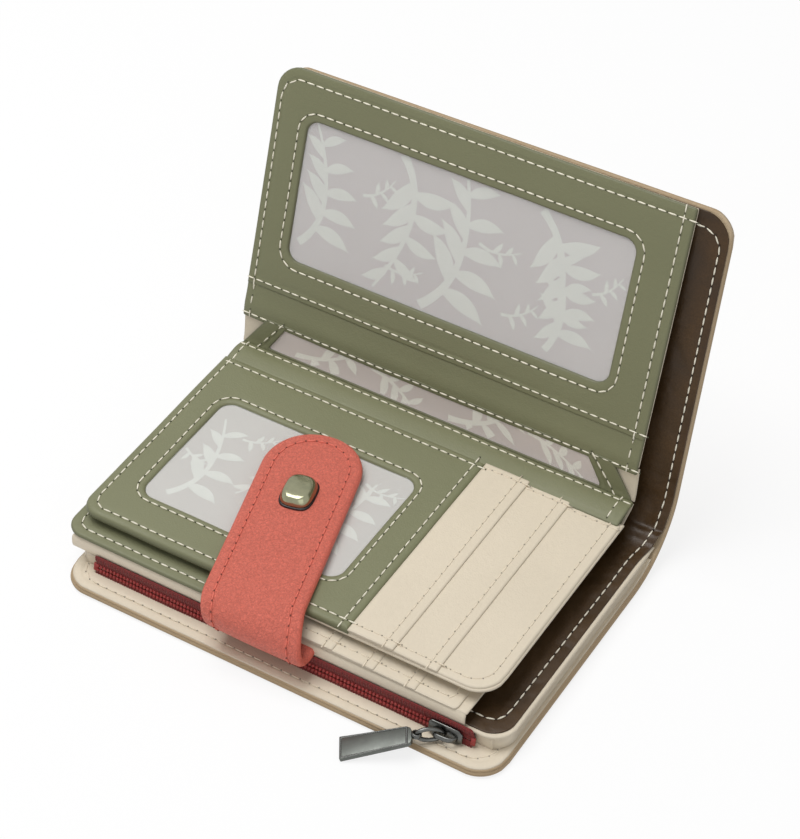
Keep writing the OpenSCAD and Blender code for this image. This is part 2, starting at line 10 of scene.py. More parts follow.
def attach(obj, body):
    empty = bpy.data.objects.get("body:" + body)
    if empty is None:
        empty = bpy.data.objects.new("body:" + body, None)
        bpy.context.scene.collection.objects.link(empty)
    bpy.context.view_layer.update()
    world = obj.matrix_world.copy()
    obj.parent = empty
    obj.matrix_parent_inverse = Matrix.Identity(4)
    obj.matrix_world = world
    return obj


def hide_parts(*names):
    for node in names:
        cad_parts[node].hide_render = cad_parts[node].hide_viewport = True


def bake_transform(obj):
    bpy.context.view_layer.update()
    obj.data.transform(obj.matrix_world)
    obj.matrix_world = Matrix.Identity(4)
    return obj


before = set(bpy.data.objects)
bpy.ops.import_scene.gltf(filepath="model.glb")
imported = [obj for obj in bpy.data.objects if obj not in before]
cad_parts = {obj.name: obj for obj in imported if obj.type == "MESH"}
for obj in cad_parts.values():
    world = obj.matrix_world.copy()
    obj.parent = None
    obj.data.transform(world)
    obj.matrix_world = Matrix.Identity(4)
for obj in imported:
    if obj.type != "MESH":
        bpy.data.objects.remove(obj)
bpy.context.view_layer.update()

bl_info = {
    "name": "Coupon organizer wallet",
    "version": (1, 0, 0),
    "blender": (4, 5, 0),
    "location": "View3D > Sidebar > Wallet",
    "description": "Builds the wallet's leather, cloth, zip, strap and stitching",
    "category": "Object",
}

# Lengths below are in millimetres, from the left end and the front edge of the lower cover
ORIGIN = Vector((72.5, 44.5, 0))
MIDDLE = 72.5
COVER_L = 145.0
COVER_MID_Z = 0.8
FOLD2 = Vector((105.752, 23.857))
UPPER_D = 84
UPPER_TILT = radians(74)
SPINE_BEND_R = 25.8
PAGE_L = 134
PAGE_TILT = radians(70.653)
PAGE_HEM = (100.645, 27.818)
ROOF_Z, LINER_Z, WALL_Z = 6.6, 7.4, 11.9
LEAF2_Z, LEAF_Z, LEAF_TOP = 12.4, 15.3, 18.3
LEAF_BACK, LEAF2_BACK = 88.76, 88.51
LINER_FRONT = 9.8
ZIP_FOOT = (7.3, 2.45)
ZIP_TILT = radians(76)
ZIP_H = 4.225
PIN_X, PIN_OUT = 126.5, 2.52
RING_L = 7.2
RING_TILT = radians(40)
STRAP_AT = (65.3, 5.3)
STRAP_SKEW = radians(15.4)
STRAP_HALF = 14.8
SNAP_L = 44.3


# Sizes and colours


def srgb(*rgb):
    """Linear values of a colour that is written from 0 to 255."""
    return [c / 12.92 if c <= 0.04045 else ((c + 0.055) / 1.055) ** 2.4 for c in (v / 255 for v in rgb)]


def colour_prop(name, text, rgb):
    return bpy.props.FloatVectorProperty(
        name=name, description=text, subtype="COLOR", size=3, min=0, max=1, default=srgb(*rgb)
    )


def size_prop(name, text, value, low, high):
    return bpy.props.FloatProperty(
        name=name, description=text, default=value, min=low, max=high, unit="NONE"
    )


class WalletColours(bpy.types.PropertyGroup):
    """Colours of the wallet's materials."""

    olive: colour_prop("Olive leather", "Pages, window frames and hinge strip", (118, 119, 89))
    cream: colour_prop("Cream leather", "Card pockets, linings and inner wall", (214, 202, 181))
    cover: colour_prop("Cover leather", "Outside of the cover", (186, 166, 136))
    cover_edge: colour_prop("Cover edge", "Burnished edge of the cover", (146, 122, 90))
    brown: colour_prop("Brown satin", "Lining of the note compartment", (62, 43, 20))
    coral: colour_prop("Coral leather", "Strap", (206, 105, 88))
    red: colour_prop("Zip tape", "Woven tape of the zip", (116, 22, 18))
    board: colour_prop("Printed board", "Ground of the print in the windows", (191, 183, 178))
    motif: colour_prop("Print", "Sprigs printed on the boards", (214, 215, 205))
    thread: colour_prop("Thread", "Stitches on the leather", (234, 228, 210))


class WalletSizes(bpy.types.PropertyGroup):
    """Sizes of the wallet's sewing, in millimetres."""

    pitch: size_prop("Stitch pitch", "Distance from one stitch to the next, in mm", 3.1, 2.5, 4)
    stitch: size_prop("Stitch length", "Visible length of one stitch, in mm", 2.6, 1.5, 3)
    thread: size_prop("Thread radius", "Radius of the sewing thread, in mm", 0.24, 0.15, 0.4)
    hole: size_prop("Needle hole", "Radius of a needle hole, in mm", 0.24, 0.1, 0.4)
    tooth: size_prop("Zip coil pitch", "Distance between two turns of the zip's coil, in mm", 1.15, 0.9, 2)


def sizes():
    return bpy.context.scene.wallet_sizes


def tint(colour, k=1):
    """A colour, or one of the wallet's by name, times one factor or one for each channel."""
    if isinstance(colour, str):
        colour = getattr(bpy.context.scene.wallet_colours, colour)
    return tuple(min(1, a * b) for a, b in zip(colour, k if isinstance(k, tuple) else (k,) * 3))


# Node trees: arithmetic on sockets


class Value:
    """A socket of a node tree that takes part in arithmetic."""

    def __init__(self, tree, out):
        self.tree, self.out = tree, out

    def math(self, op, *parts):
        return self.tree.add("ShaderNodeMath", {"operation": op}, dict(enumerate(parts)))

    def __add__(self, o):
        return self.math("ADD", self, o)

    def __radd__(self, o):
        return self.math("ADD", o, self)

    def __sub__(self, o):
        return self.math("SUBTRACT", self, o)

    def __rsub__(self, o):
        return self.math("SUBTRACT", o, self)

    def __mul__(self, o):
        return self.math("MULTIPLY", self, o)

    def __rmul__(self, o):
        return self.math("MULTIPLY", o, self)

    def sine(self):
        return self.math("SINE", self)

    def largest(self, o):
        return self.math("MAXIMUM", self, o)

    def between(self, low, high):
        """0 up to low, 1 from high, and a straight ramp between them."""
        sockets = {0: self, 1: low, 2: high, 3: 0.0, 4: 1.0}
        return self.tree.add("ShaderNodeMapRange", {"clamp": True}, sockets)


class Tree:
    """Node tree of a material or of the world."""

    def __init__(self, owner, end="ShaderNodeOutputMaterial"):
        owner.use_nodes = True
        self.owner, self.nodes, self.links = owner, owner.node_tree.nodes, owner.node_tree.links
        self.nodes.clear()
        self.end = self.nodes.new(end)

    def add(self, kind, settings=None, sockets=None, output=0):
        """One node with its settings and its sockets' values or links."""
        n = self.nodes.new(kind)
        for key, value in (settings or {}).items():
            setattr(n, key, value)
        for key, value in (sockets or {}).items():
            self.put(n.inputs[key], value)
        return Value(self, n.outputs[output])

    def put(self, socket, value):
        if isinstance(value, Value):
            self.links.new(value.out, socket)
        elif socket.type == "RGBA":
            socket.default_value = (*value, 1)
        else:
            socket.default_value = value

    def outputs(self, kind, *names, **sockets):
        """Several outputs of one node."""
        node = self.add(kind, sockets=sockets).out.node
        return [Value(self, node.outputs[name]) for name in names]

    def mix(self, share, a, b):
        return self.add("ShaderNodeMix", {"data_type": "RGBA"}, {0: share, 6: a, 7: b}, 2)

    def coat(self, colour, *coats):
        """Lays colours, or tints of the first one, over it, each by a mask and a share."""
        shade = colour
        for mask, share, over in coats:
            shade = self.mix(mask * share, shade, over if isinstance(over, tuple) else tint(colour, over))
        return shade

    def place(self):
        return self.add("ShaderNodeTexCoord", output=3)

    def noise(self, scale, detail, rough):
        return self.add("ShaderNodeTexNoise", sockets={
            "Vector": self.place(), "Scale": scale, "Detail": detail, "Roughness": rough})

    def mottle(self, scale, detail=2, rough=0.5, low=0.3, high=0.7):
        """Noise spread out between 0 and 1."""
        return self.noise(scale, detail, rough).between(low, high)

    def cells(self, scale, feature, at):
        return self.add("ShaderNodeTexVoronoi", {"feature": feature}, {"Vector": at, "Scale": scale})

    def worn(self, low, high):
        """1 on the piece's edge, 0 from a distance in millimetres."""
        edge = self.add("ShaderNodeAttribute", {"attribute_name": "edge_mm"}, output=2)
        return 1 - edge.between(low, high)

    def bump(self, height, strength, distance):
        return self.add(
            "ShaderNodeBump", sockets={"Height": height, "Strength": strength, "Distance": distance}
        )

    def close(self, shader):
        self.links.new(shader.out, self.end.inputs[0])
        return self.owner

    def finish(self, **sockets):
        return self.close(self.add(
            "ShaderNodeBsdfPrincipled", sockets={k.replace("_", " "): v for k, v in sockets.items()}
        ))

    def seen(self):
        """1 where the camera, a mirror or a window looks, and 0 for light that spreads."""
        rays = self.outputs("ShaderNodeLightPath", "Is Camera Ray", "Is Glossy Ray", "Is Transmission Ray")
        return rays[0].largest(rays[1]).largest(rays[2])


def smooth_leather(t, colour, edge, grain, rough, edge_mm=0.75, depth=0.35):
    broad, fine = t.mottle(38, 3, 0.55), t.mottle(900)
    worn = t.worn(0.05, edge_mm)
    height = t.cells(grain, "F1", t.place()) * 0.7 + fine * 0.5 + broad * 0.6
    return t.finish(
        Base_Color=t.coat(tint(colour), (broad, 0.16, 0.72), (fine, 0.10, 1.25), (worn, 0.75, tint(*edge))),
        Roughness=broad * 0.1 + fine * 0.06 + rough,
        Normal=t.bump(height, depth, 0.00016),
        Specular_IOR_Level=0.42,
    )


def coral_leather(t):
    """Leather with a net of fine cracks, lighter along its edges."""
    c = tint("coral")
    drift = t.add("ShaderNodeVectorMath", {"operation": "SCALE"}, {0: t.noise(650, 4, 0.65), 3: 0.0016})
    moved = t.add("ShaderNodeVectorMath", {"operation": "ADD"}, {0: t.place(), 1: drift})
    crack = 1 - t.cells(640, "DISTANCE_TO_EDGE", moved).between(0.0, 0.12)
    vein = 1 - t.cells(1700, "DISTANCE_TO_EDGE", moved).between(0.0, 0.25)
    broad, dust = t.mottle(90, 4, 0.6), t.mottle(1500, 4, 0.7, 0.38, 0.62)
    rubbed = tint(c, (1.12, 0.95, 0.9))
    return t.finish(
        Base_Color=t.coat(c, (broad, 0.35, 0.84), (dust, 0.5, 1.6), (vein, 0.34, 0.6), (crack, 0.3, 0.58),
                          (t.worn(0.1, 1.1), 0.55, rubbed)),
        Roughness=crack * 0.12 + 0.46,
        Normal=t.bump(broad * 0.4 + dust * 0.6 - crack * 0.4 - vein * 0.4, 0.7, 0.00026),
        Specular_IOR_Level=0.38,
    )


def zip_cloth(t):
    """Plain weave."""
    c = tint("red")
    x, y, z = t.outputs("ShaderNodeSeparateXYZ", 0, 1, 2, Vector=t.place())
    warp = (x * (1500 * pi)).sine() * 0.5 + 0.5
    weft = ((y + z) * (3000 * pi)).sine() * 0.5 + 0.5
    cloth, broad = warp * weft, t.mottle(55, 3, 0.55)
    return t.finish(
        Base_Color=t.coat(tint(c, 0.72), (cloth, 0.8, tint(c, 1.35)), (broad, 0.25, tint(c, 0.7))),
        Roughness=broad * 0.12 + 0.6,
        Normal=t.bump(cloth, 0.5, 0.00012),
        Sheen_Weight=0.2,
        Sheen_Roughness=0.4,
    )


def brown_satin(t):
    """Creased satin with painted sheen highlights on its creases and painted shade towards the inside of the
    wallet.
    """
    # The creases lighten the colour as painted sheen highlights, and the same mask sets roughness and bump
    folds_and_painted_sheen, small = t.mottle(55, 3, 0.55, 0.38, 0.66), t.mottle(120, 3, 0.55)
    fibre = t.mottle(1900, 3, 0.65, 0.36, 0.64)
    across = t.outputs("ShaderNodeSeparateXYZ", 0, Vector=t.place())[0]
    # Painted shade: the colour darkens across the lining away from its right edge, where the leaves shade it
    painted_shade_inside = 1 - across.between(0.053, 0.0685)
    return t.finish(
        Base_Color=t.coat(tint("brown"), (folds_and_painted_sheen, 0.75, 2.1), (small, 0.3, 0.75), (fibre, 0.4, 0.6),
                          (painted_shade_inside, 0.8, 0.25)),
        Roughness=folds_and_painted_sheen * 0.14 + fibre * 0.05 + 0.34,
        Normal=t.bump(folds_and_painted_sheen + small * 0.3 + fibre * 0.02, 0.4, 0.0011),
        Specular_IOR_Level=0.35,
    )


def zip_coil(t):
    mottle = t.mottle(700, 2, 0.5, 0.35, 0.65)
    # The coil keeps the zip's red, painted 1.5 to 2.2 times lighter as a highlight for light caught on its
    # turns
    dark, light = (tuple(x * k + add for x in tint("red")) for k, add in ((1.5, 0.01), (2.2, 0.03)))
    return t.finish(Base_Color=t.coat(dark, (mottle, 0.4, light)), Roughness=mottle * 0.1 + 0.36,
                    Normal=t.bump(mottle, 0.2, 0.0001))


def printed_board(t, k=1):
    soft, grain = t.mottle(24), t.mottle(1500)
    return t.finish(Base_Color=t.coat(tint("board", k), (soft, 0.35, 0.86)), Roughness=grain * 0.1 + 0.55,
                    Normal=t.bump(grain, 0.1, 0.0001))


def print_ink(t, k=1):
    soft = t.mottle(160, 3, 0.6)
    return t.finish(Base_Color=t.coat(tint("motif", k), (soft, 0.4, 0.88)), Roughness=soft * 0.1 + 0.5)


def clear_film(t):
    made = t.finish(
        Base_Color=(0.86, 0.87, 0.88),
        Roughness=t.mottle(260) * 0.08 + 0.12,
        Normal=t.bump(t.mottle(45, 2, 0.5, 0.2, 0.8), 0.25, 0.0009),
        Alpha=0.2,
    )
    made.blend_method = "BLEND"
    return made


def thread(t, colour, k=1):
    twist = t.mottle(1800, 2, 0.6)
    return t.finish(Base_Color=t.coat(tint(colour, k), (twist, 0.4, 0.82)), Roughness=twist * 0.15 + 0.55,
                    Normal=t.bump(twist, 0.5, 0.0001))


def worked_metal(t, colour, rough, scratch=0.08):
    broad, fine = t.mottle(350, 3, 0.6), t.mottle(2600)
    return t.finish(
        Base_Color=t.coat(colour, (broad, 0.5, 0.6)),
        Metallic=1.0,
        Roughness=broad * scratch + fine * 0.05 + rough,
        Normal=t.bump(fine, 0.06, 0.0001),
    )


# Each finish: the function that makes it and that function's values
FINISHES = {
    "olive_leather": (smooth_leather, "olive", ("olive", 0.62), 2100, 0.44),
    "cream_leather": (smooth_leather, "cream", ("cream", 0.78), 2100, 0.4),
    "cover_leather": (smooth_leather, "cover", ("cover_edge",), 1500, 0.46, 1.0, 0.5),
    "coral_leather": (coral_leather,),
    "brown_satin": (brown_satin,),
    "zip_cloth": (zip_cloth,),
    "zip_coil": (zip_coil,),
    "printed_board": (printed_board,),
    "pale_board": (printed_board, (0.98, 1.01, 0.95)),
    # Painted light: copies of the board and print, lightened because in the gap they lie in shade under the
    # page's hem
    "gap_paper": (printed_board, (1.44, 1.3, 1.26)),
    "print_ink": (print_ink,),
    "gap_ink": (print_ink, (1.5, 1.4, 1.38)),
    "clear_film": (clear_film,),
    "cream_thread": (thread, "thread"),
    "tan_thread": (thread, "cream", 1.12),
    "coral_thread": (thread, "coral", 1.2),
    # Needle holes: dark tints of the leather, painted shade where the holes lie in shadow
    "olive_hole": (thread, "olive", 0.4),
    "tan_hole": (thread, "cream", 0.55),
    "brown_hole": (thread, "brown", 0.3),
    "coral_hole": (thread, "coral", 0.3),
    "gunmetal": (worked_metal, (0.14, 0.142, 0.135), 0.2),
    "brushed_plate": (worked_metal, (0.15, 0.158, 0.145), 0.32),
    "dark_rim": (worked_metal, (0.05, 0.045, 0.045), 0.25),
    # The cap's olive tint is a painted reflection of the olive leather round it
    "polished_cap": (worked_metal, (0.38, 0.38, 0.25), 0.12, 0.06),
}
# Finishes whose slot in the frame has another name
SLOTS = {"brown_satin": "brown_lining", "zip_coil": "zip_teeth", "pale_board": "printed_board",
         "gap_paper": "printed_board", "print_ink": "printed_board", "gap_ink": "printed_board"}
# Thread on each slot's material, and the dark spheres of painted shade in its needle holes
SEWING = {"olive_leather": ("cream_thread", "olive_hole"), "cream_leather": ("tan_thread", "tan_hole"),
          "brown_lining": ("cream_thread", "brown_hole"), "coral_leather": ("coral_thread", "coral_hole")}
MADE = {}


def material(name):
    if name not in MADE:
        make, *values = FINISHES[name]
        MADE[name] = make(Tree(bpy.data.materials.new(name)), *values)
    return MADE[name]


# Places: each maps (x, u, w), along the spine, along the piece and off its face, to millimetres


def smooth(t):
    t = max(0.0, min(1.0, t))
    return t * t * (3 - 2 * t)


def hump(u, middle, width):
    """A soft rise to 1 round a middle."""
    return exp(-(((u - middle) / width) ** 2))


class Profile:
    """A line in the Y-Z plane that pieces follow, measured along its length."""

    def __init__(self, points, start=0.0):
        self.p = [Vector(p) for p in points]
        self.ways = [(b - a).normalized() for a, b in zip(self.p, self.p[1:])]
        self.u = [start]
        for a, b in zip(self.p, self.p[1:]):
            self.u.append(self.u[-1] + (b - a).length)

    def __call__(self, x, u, w=0.0):
        i = 0
        while i < len(self.u) - 2 and u > self.u[i + 1]:
            i += 1
        t = (u - self.u[i]) / (self.u[i + 1] - self.u[i])
        here = self.ways[i]
        before, after = self.ways[max(i - 1, 0)], self.ways[min(i + 1, len(self.ways) - 1)]
        s = max(0.0, min(1.0, t))
        way = ((before + here) * (1 - s) + (here + after) * s).normalized()
        q = self.p[i] + (self.p[i + 1] - self.p[i]) * t + Vector((-way.y, way.x)) * w
        return Vector((x, q.x, q.y))


def smooth_line(points, steps=6):
    """Catmull-Rom line through points in the plane."""
    p = [Vector(q) for q in points]
    p = [p[0] * 2 - p[1]] + p + [p[-1] * 2 - p[-2]]
    out = []
    for a, b, c, d in zip(p, p[1:], p[2:], p[3:]):
        for t in (k / steps for k in range(steps)):
            out.append(0.5 * (2 * b + (c - a) * t + (2 * a - 5 * b + 4 * c - d) * t * t
                              + (3 * b - a - 3 * c + d) * t**3))
    return out + [p[-2]]


def flat(x, u, w=0.0):
    return Vector((x, u, w))


def page_place(x, s, q=0.0):
    """Along the upper page, whose top edge falls away to the left."""
    s -= 1.1 * (1 - x / PAGE_L) * smooth((s - 60) / 20)
    c, n = cos(PAGE_TILT), sin(PAGE_TILT)
    return Vector((x, PAGE_HEM[0] + s * c - q * n, PAGE_HEM[1] + s * n + q * c))


def page_hem_place(x, s, q=0.0):
    """The band sags a little in its middle and hangs lowest there."""
    t = x / PAGE_L
    low = 1 - smooth((s + 2.2) / 10)
    return page_place(x, s - 1.8 * t * (1 - t) * low, q + 0.3 * hump(s, 2.2, 2.6))


def zip_place(x, v, n=0.0):
    c, s = cos(ZIP_TILT), sin(ZIP_TILT)
    return Vector((x, ZIP_FOOT[0] + v * c - n * s, ZIP_FOOT[1] + v * s + n * c))


def tape_place(x, v, n=0.0):
    """The upper tape leans out over the front band."""
    return zip_place(x, v, n + 0.75 * smooth((v - 3.6) / 1.8))


ZIP_OUT = zip_place(0, 0, 1) - zip_place(0, 0, 0)
ZIP_UP = zip_place(0, 1, 0) - zip_place(0, 0, 0)
ZIP_MID = ZIP_H / 2
TAB_AT = zip_place(PIN_X - RING_L * cos(RING_TILT), ZIP_MID - 0.1, PIN_OUT + RING_L * sin(RING_TILT))

CLIMB = Vector((cos(UPPER_TILT), sin(UPPER_TILT)))
BEND_START = FOLD2.x - (FOLD2.y - COVER_MID_Z) / tan(UPPER_TILT) - SPINE_BEND_R * tan(UPPER_TILT / 2)
BEND_END = BEND_START + SPINE_BEND_R * UPPER_TILT


def bend_arc(r, start, steps):
    """Points round the spine, from an angle to the upper cover's."""
    turns = [start + (UPPER_TILT - start) * i / steps for i in range(steps + 1)]
    return [Vector((BEND_START + r * sin(a), COVER_MID_Z + SPINE_BEND_R - r * cos(a))) for a in turns]


COVER = Profile([(0, COVER_MID_Z), *bend_arc(SPINE_BEND_R, 0, 26), FOLD2 + CLIMB * UPPER_D])
COVER_END = COVER.u[-1]
# The lining lies flat over the coin pocket, has a crease where it meets the spine, and climbs
LINER_ARC = bend_arc(SPINE_BEND_R - 1.15, radians(41), 12)
CREASE = smooth_line([(86.0, 7.62), (89.8, 7.62), (93.0, 7.95), LINER_ARC[2]])[:-1]
LINER = Profile([(LINER_FRONT, 7.65), *CREASE, *LINER_ARC[2:], LINER_ARC[-1] + CLIMB * 87.3], LINER_FRONT)
STRAP = Profile(smooth_line([
    (6.5, 10.5), (4.4, 10.1), (2.2, 9.35), (0.0, 9.2), (-2.1, 10.5), (-3.3, 13.2), (-2.9, 16.3),
    (-1.0, 18.6), (2.4, 19.7), (8.0, 19.85), (20.0, 19.72), (45.0, 19.7), (70.0, 19.7)]))
GAP_LOW = Profile([(88.6, 13.1), (92.4, 14.9), (95.6, 16.2), (96.9, 17.2)])
GAP_HIGH = Profile([(96.9, 17.2), (97.6, 19.2), (98.2, 23.0), (98.9, 28.1)])

# Where each layer bends: the two bodies, and the places where one ends and the other begins
HINGE2 = Vector((MIDDLE, *FOLD2))
UP = Vector((0, *CLIMB))
LOW_BEND = ("base", "spine", COVER(MIDDLE, BEND_START), HINGE2 + UP)
HIGH_BEND = ("spine", "upper", HINGE2 + UP * 1.2, HINGE2 + UP * 8)
STRIP_BEND = ("base", "spine", (MIDDLE, 87, 18), (MIDDLE, 100, 18))
GAP_LOW_BEND = ("base", "spine", (MIDDLE, 88, 14), (MIDDLE, 96.9, 17.2))
GAP_HIGH_BEND = ("spine", "upper", (MIDDLE, 96.9, 17.2), (MIDDLE, 98.9, 28.1))
# The lower and the upper pieces of a layer meet just above the second fold
PARTING = COVER_END - UPPER_D + 1.2
LINER_PARTING = LINER.u[-2] + PARTING - COVER.u[-2]


def cover_skin_place(x, u, w=0.0):
    """The left edge stands in a little, and the top edge falls away to the left."""
    left = 1 - x / COVER_L
    up = smooth((u - BEND_END) / (COVER_END - BEND_END))
    return COVER(x + left * (2.0 - 1.0 * up), u - (0.5 + 2.3 * left) * up, w)


def satin_place(x, u, w=0.0):
    """The lining widens to the cover's edge as it climbs, and ripples where it bends."""
    right = max(0.0, (x - 100) / 42.6)
    top = smooth((u - BEND_END) / (COVER_END - BEND_END))
    near = (hump(u, 99, 8) + 0.5 * hump(u, 84, 7)) * (1 - smooth((u - 102) / 6))
    ripple = near * (0.5 + 0.32 * sin(x * 0.42 + u * 0.16) + 0.16 * sin(x * 0.95 - u * 0.3))
    ripple += 0.85 * hump(u, 95.5 - 0.06 * (142 - x), 1.9) * smooth((x - 104) / 30)
    return LINER(x + 1.6 * right * smooth((u - 84) / 16), u - 2.3 * (1 - x / COVER_L) * top, w + ripple)


def strap_place(a, u, w=0.0):
    """a is across the strap; the strap turns as it comes up round its bend."""
    q = STRAP(0, u, w)
    turned = smooth((u - 8) / 16)
    turn, low = STRAP_SKEW * turned, 1 - turned
    c, s = cos(turn), sin(turn)
    a *= 1 + 0.05 * low
    return Vector((STRAP_AT[0] + 3.0 * low + a * c - q.y * s, STRAP_AT[1] + a * s + q.y * c, q.z))


def strap_point(y, z):
    """A place on the strap's middle line, in millimetres."""
    return Vector((STRAP_AT[0] - y * sin(STRAP_SKEW), STRAP_AT[1] + y * cos(STRAP_SKEW), z))


def round_corner(y, start, r):
    """How far an edge stands in where it turns round a corner of radius r that starts at y."""
    return r - sqrt(max(0.0, r * r - max(0.0, start - y) ** 2))


def fold_wall(x0, inwards):
    """Side wall of the coin pocket, folded once and closing where the cover bends up."""

    def place(y, t, w=0.0):
        foot = COVER(0, y, 1.7)
        high = max(0.15, 6.75 - foot.z)
        depth = 0.3 + 2.0 * smooth((y - 11) / 9) * (high / 5.0) * (1 - abs(2 * t - 1) ** 1.4)
        return Vector((x0 + inwards * (depth + w + round_corner(y, 15.75, 7)), foot.y, foot.z + high * t))

    return place


# Meshes of leather, cloth and metal


def show(name, mesh):
    ob = bpy.data.objects.new(name, mesh)
    bpy.context.collection.objects.link(ob)
    return ob


def evaluated(ob):
    """The mesh that an object's modifiers make, as plain data."""
    bpy.context.view_layer.update()
    return bpy.data.meshes.new_from_object(ob.evaluated_get(bpy.context.evaluated_depsgraph_get()))


def new_piece(name, verts, faces, look, edge=None, soft=True):
    me = bpy.data.meshes.new(name)
    me.from_pydata([(Vector(v) - ORIGIN) / 1000 for v in verts], [], faces)
    me.materials.append(material(look))
    if edge is not None:
        me.attributes.new("edge_mm", "FLOAT", "POINT").data.foreach_set("value", edge)
    me.validate()
    bm = bmesh.new()
    bm.from_mesh(me)
    bmesh.ops.remove_doubles(bm, verts=bm.verts, dist=1e-7)
    bmesh.ops.recalc_face_normals(bm, faces=bm.faces)
    if bm.calc_volume(signed=True) < 0:
        bmesh.ops.reverse_faces(bm, faces=bm.faces)
    bm.to_mesh(me)
    bm.free()
    for p in me.polygons:
        p.use_smooth = soft
    return show(name, me)


def carry(piece, look, on, nodes=(), slot=None):
    """Attaches a piece to the body that carries it, or bakes its transform where it bends between two bodies,
    and hides the frame's parts that it stands for.
    """
    if isinstance(on, str):
        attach(piece, on)
    else:
        a, b, start, end = on
        start, end = (tuple((Vector(p) - ORIGIN) / 1000) for p in (start, end))
        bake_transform(piece)
        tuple(start)
        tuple(end)
    slot or SLOTS.get(look, look)
    if nodes:
        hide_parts(*nodes)


def joined(name, pieces, on, node):
    """Metal pieces as one object."""
    bpy.ops.object.select_all(action="DESELECT")
    for p in pieces:
        p.select_set(True)
    bpy.context.view_layer.objects.active = pieces[0]
    bpy.ops.object.join()
    pieces[0].name = name
    carry(pieces[0], "gunmetal", on, (node,))


def inset(rect, d):
    return (rect[0] + d, rect[1] + d, rect[2] - d, rect[3] - d)


def corners(rect):
    """Each corner of a rectangle with its directions inwards, anticlockwise from the front left."""
    x0, u0, x1, u1 = rect
    return (x0, u0, 1, 1), (x1, u0, -1, 1), (x1, u1, -1, -1), (x0, u1, 1, -1)


def corner_distance(x, u, rect, radii):
    """Distance inwards from the outline of a rectangle with four corner radii."""
    x0, u0, x1, u1 = rect
    d = min(x - x0, x1 - x, u - u0, u1 - u)
    for (cx, cu, sx, su), r in zip(corners(rect), radii):
        dx, du = (x - cx) * sx, (u - cu) * su
        if dx < r and du < r:
            d = min(d, r - hypot(r - dx, r - du))
    return d


def hole_distance(x, u, hole, r):
    """Distance outwards from the outline of a window with round corners."""
    x0, u0, x1, u1 = hole
    qx = abs(x - (x0 + x1) / 2) - (x1 - x0) / 2 + r
    qu = abs(u - (u0 + u1) / 2) - (u1 - u0) / 2 + r
    return hypot(max(qx, 0), max(qu, 0)) + min(max(qx, qu), 0) - r


def outline(rect, radii, ns=(34, 20), nc=8):
    """Points round a rectangle with corner radii, the same count for each side and corner."""
    arcs = []
    for k, ((x, u, sx, su), r) in enumerate(zip(corners(rect), radii)):
        turns = [radians(180 + 90 * k + 90 * i / nc) for i in range(nc + 1)]
        arcs.append([(x + r * (sx + cos(a)), u + r * (su + sin(a))) for a in turns])
    pts = []
    for k in range(4):
        pts += arcs[k]
        a, b, n = arcs[k][-1], arcs[(k + 1) % 4][0], ns[k % 2]
        pts += [(a[0] + (b[0] - a[0]) * i / n, a[1] + (b[1] - a[1]) * i / n) for i in range(1, n)]
    return pts


def seam_loop(hole, d, r, ns):
    """Closed line of stitches round a window."""
    line = outline(inset(hole, -d), (r,) * 4, ns, 6)
    return line + line[:1]


# Distances from an edge at which each kind of sheet has its rows of points
NEAR = (0, 0.06, 0.18, 0.38, 0.7, 1.2, 1.9, 2.3, 2.6, 2.85, 3.1, 3.4, 3.8, 4.6, 6.0)
NEAR_THIN = (0, 0.05, 0.15, 0.35, 0.8, 1.6, 3.0)
NEAR_TAPE = (0, 0.06, 0.18, 0.4, 0.8)
NEAR_BAND = (0, 0.1, 0.3, 0.7, 1.2)
NEAR_METAL = (0, 0.08, 0.2, 0.4)
NEAR_WALL = (0, 0.04, 0.1)
NEAR_FILM = (0, 0.5, 2)
NEAR_WINDOW = (0, 0.06, 0.18, 0.38, 0.7, 1.2, 1.8, 2.15, 2.45, 2.75, 3.1, 3.6, 4.4)


def steps_along(length, fine, coarse):
    """Places along a length, close together near both ends."""
    near = [v for v in fine if v < length / 2]
    middle = length - 2 * near[-1]
    n = max(2, round(middle / max(coarse, length / 90)))
    return near + [near[-1] + middle * i / n for i in range(1, n)] + [length - v for v in reversed(near)]


def wave(x, u):
    """Slow unevenness of sewn leather, in millimetres."""
    return 0.07 * sin(0.13 * x + 0.9) * sin(0.11 * u + 0.4) + 0.04 * sin(0.29 * x + 0.19 * u)


def layer(name, place, rows, measure, w0, w1, look, on, nodes, puff, ring=False):
    """Sheet with round edges over rows of (x, u) points, which close on themselves in a ring.

    The function measure gives a point's distance to the edge, its depth in the seams and its bow.
    """
    half, mid = (w1 - w0) / 2, (w0 + w1) / 2
    verts, edge, faces = [], [], []
    for x, u in (p for row in rows for p in row):
        d, dip, bow = measure(x, u)
        d = max(0.0, d)
        h = half * sqrt(max(0.0, 1 - max(0.0, 1 - d / max(0.05, half)) ** 2))
        rise = dip + puff * (1 - exp(-d / 1.6)) if d > 0.2 else 0
        verts += [place(x, u, mid + bow + h + rise), place(x, u, mid + bow - h)]
        edge += [d, d]
    n, m = len(rows), len(rows[0])

    def at(i, j, low=0):
        return 2 * (i % n * m + j) + low

    for i in range(n if ring else n - 1):
        for j, low in ((j, low) for j in range(m - 1) for low in (0, 1)):
            faces.append((at(i, j, low), at(i, j + 1, low), at(i + 1, j + 1, low), at(i + 1, j, low)))
        faces += [(at(i, j), at(i + 1, j), at(i + 1, j, 1), at(i, j, 1)) for j in (0, m - 1)]
    for i in () if ring else (0, n - 1):
        faces += [(at(i, j), at(i, j + 1), at(i, j + 1, 1), at(i, j, 1)) for j in range(m - 1)]
    piece = new_piece(name, verts, faces, look, edge)
    if on:
        carry(piece, look, on, nodes)
    return piece


def dips(*lines):
    """Depth in the seams, from pairs of a distance and the seams' own distances."""
    return sum(-0.16 * hump(d, s, 0.32) for d, seams in lines for s in seams)


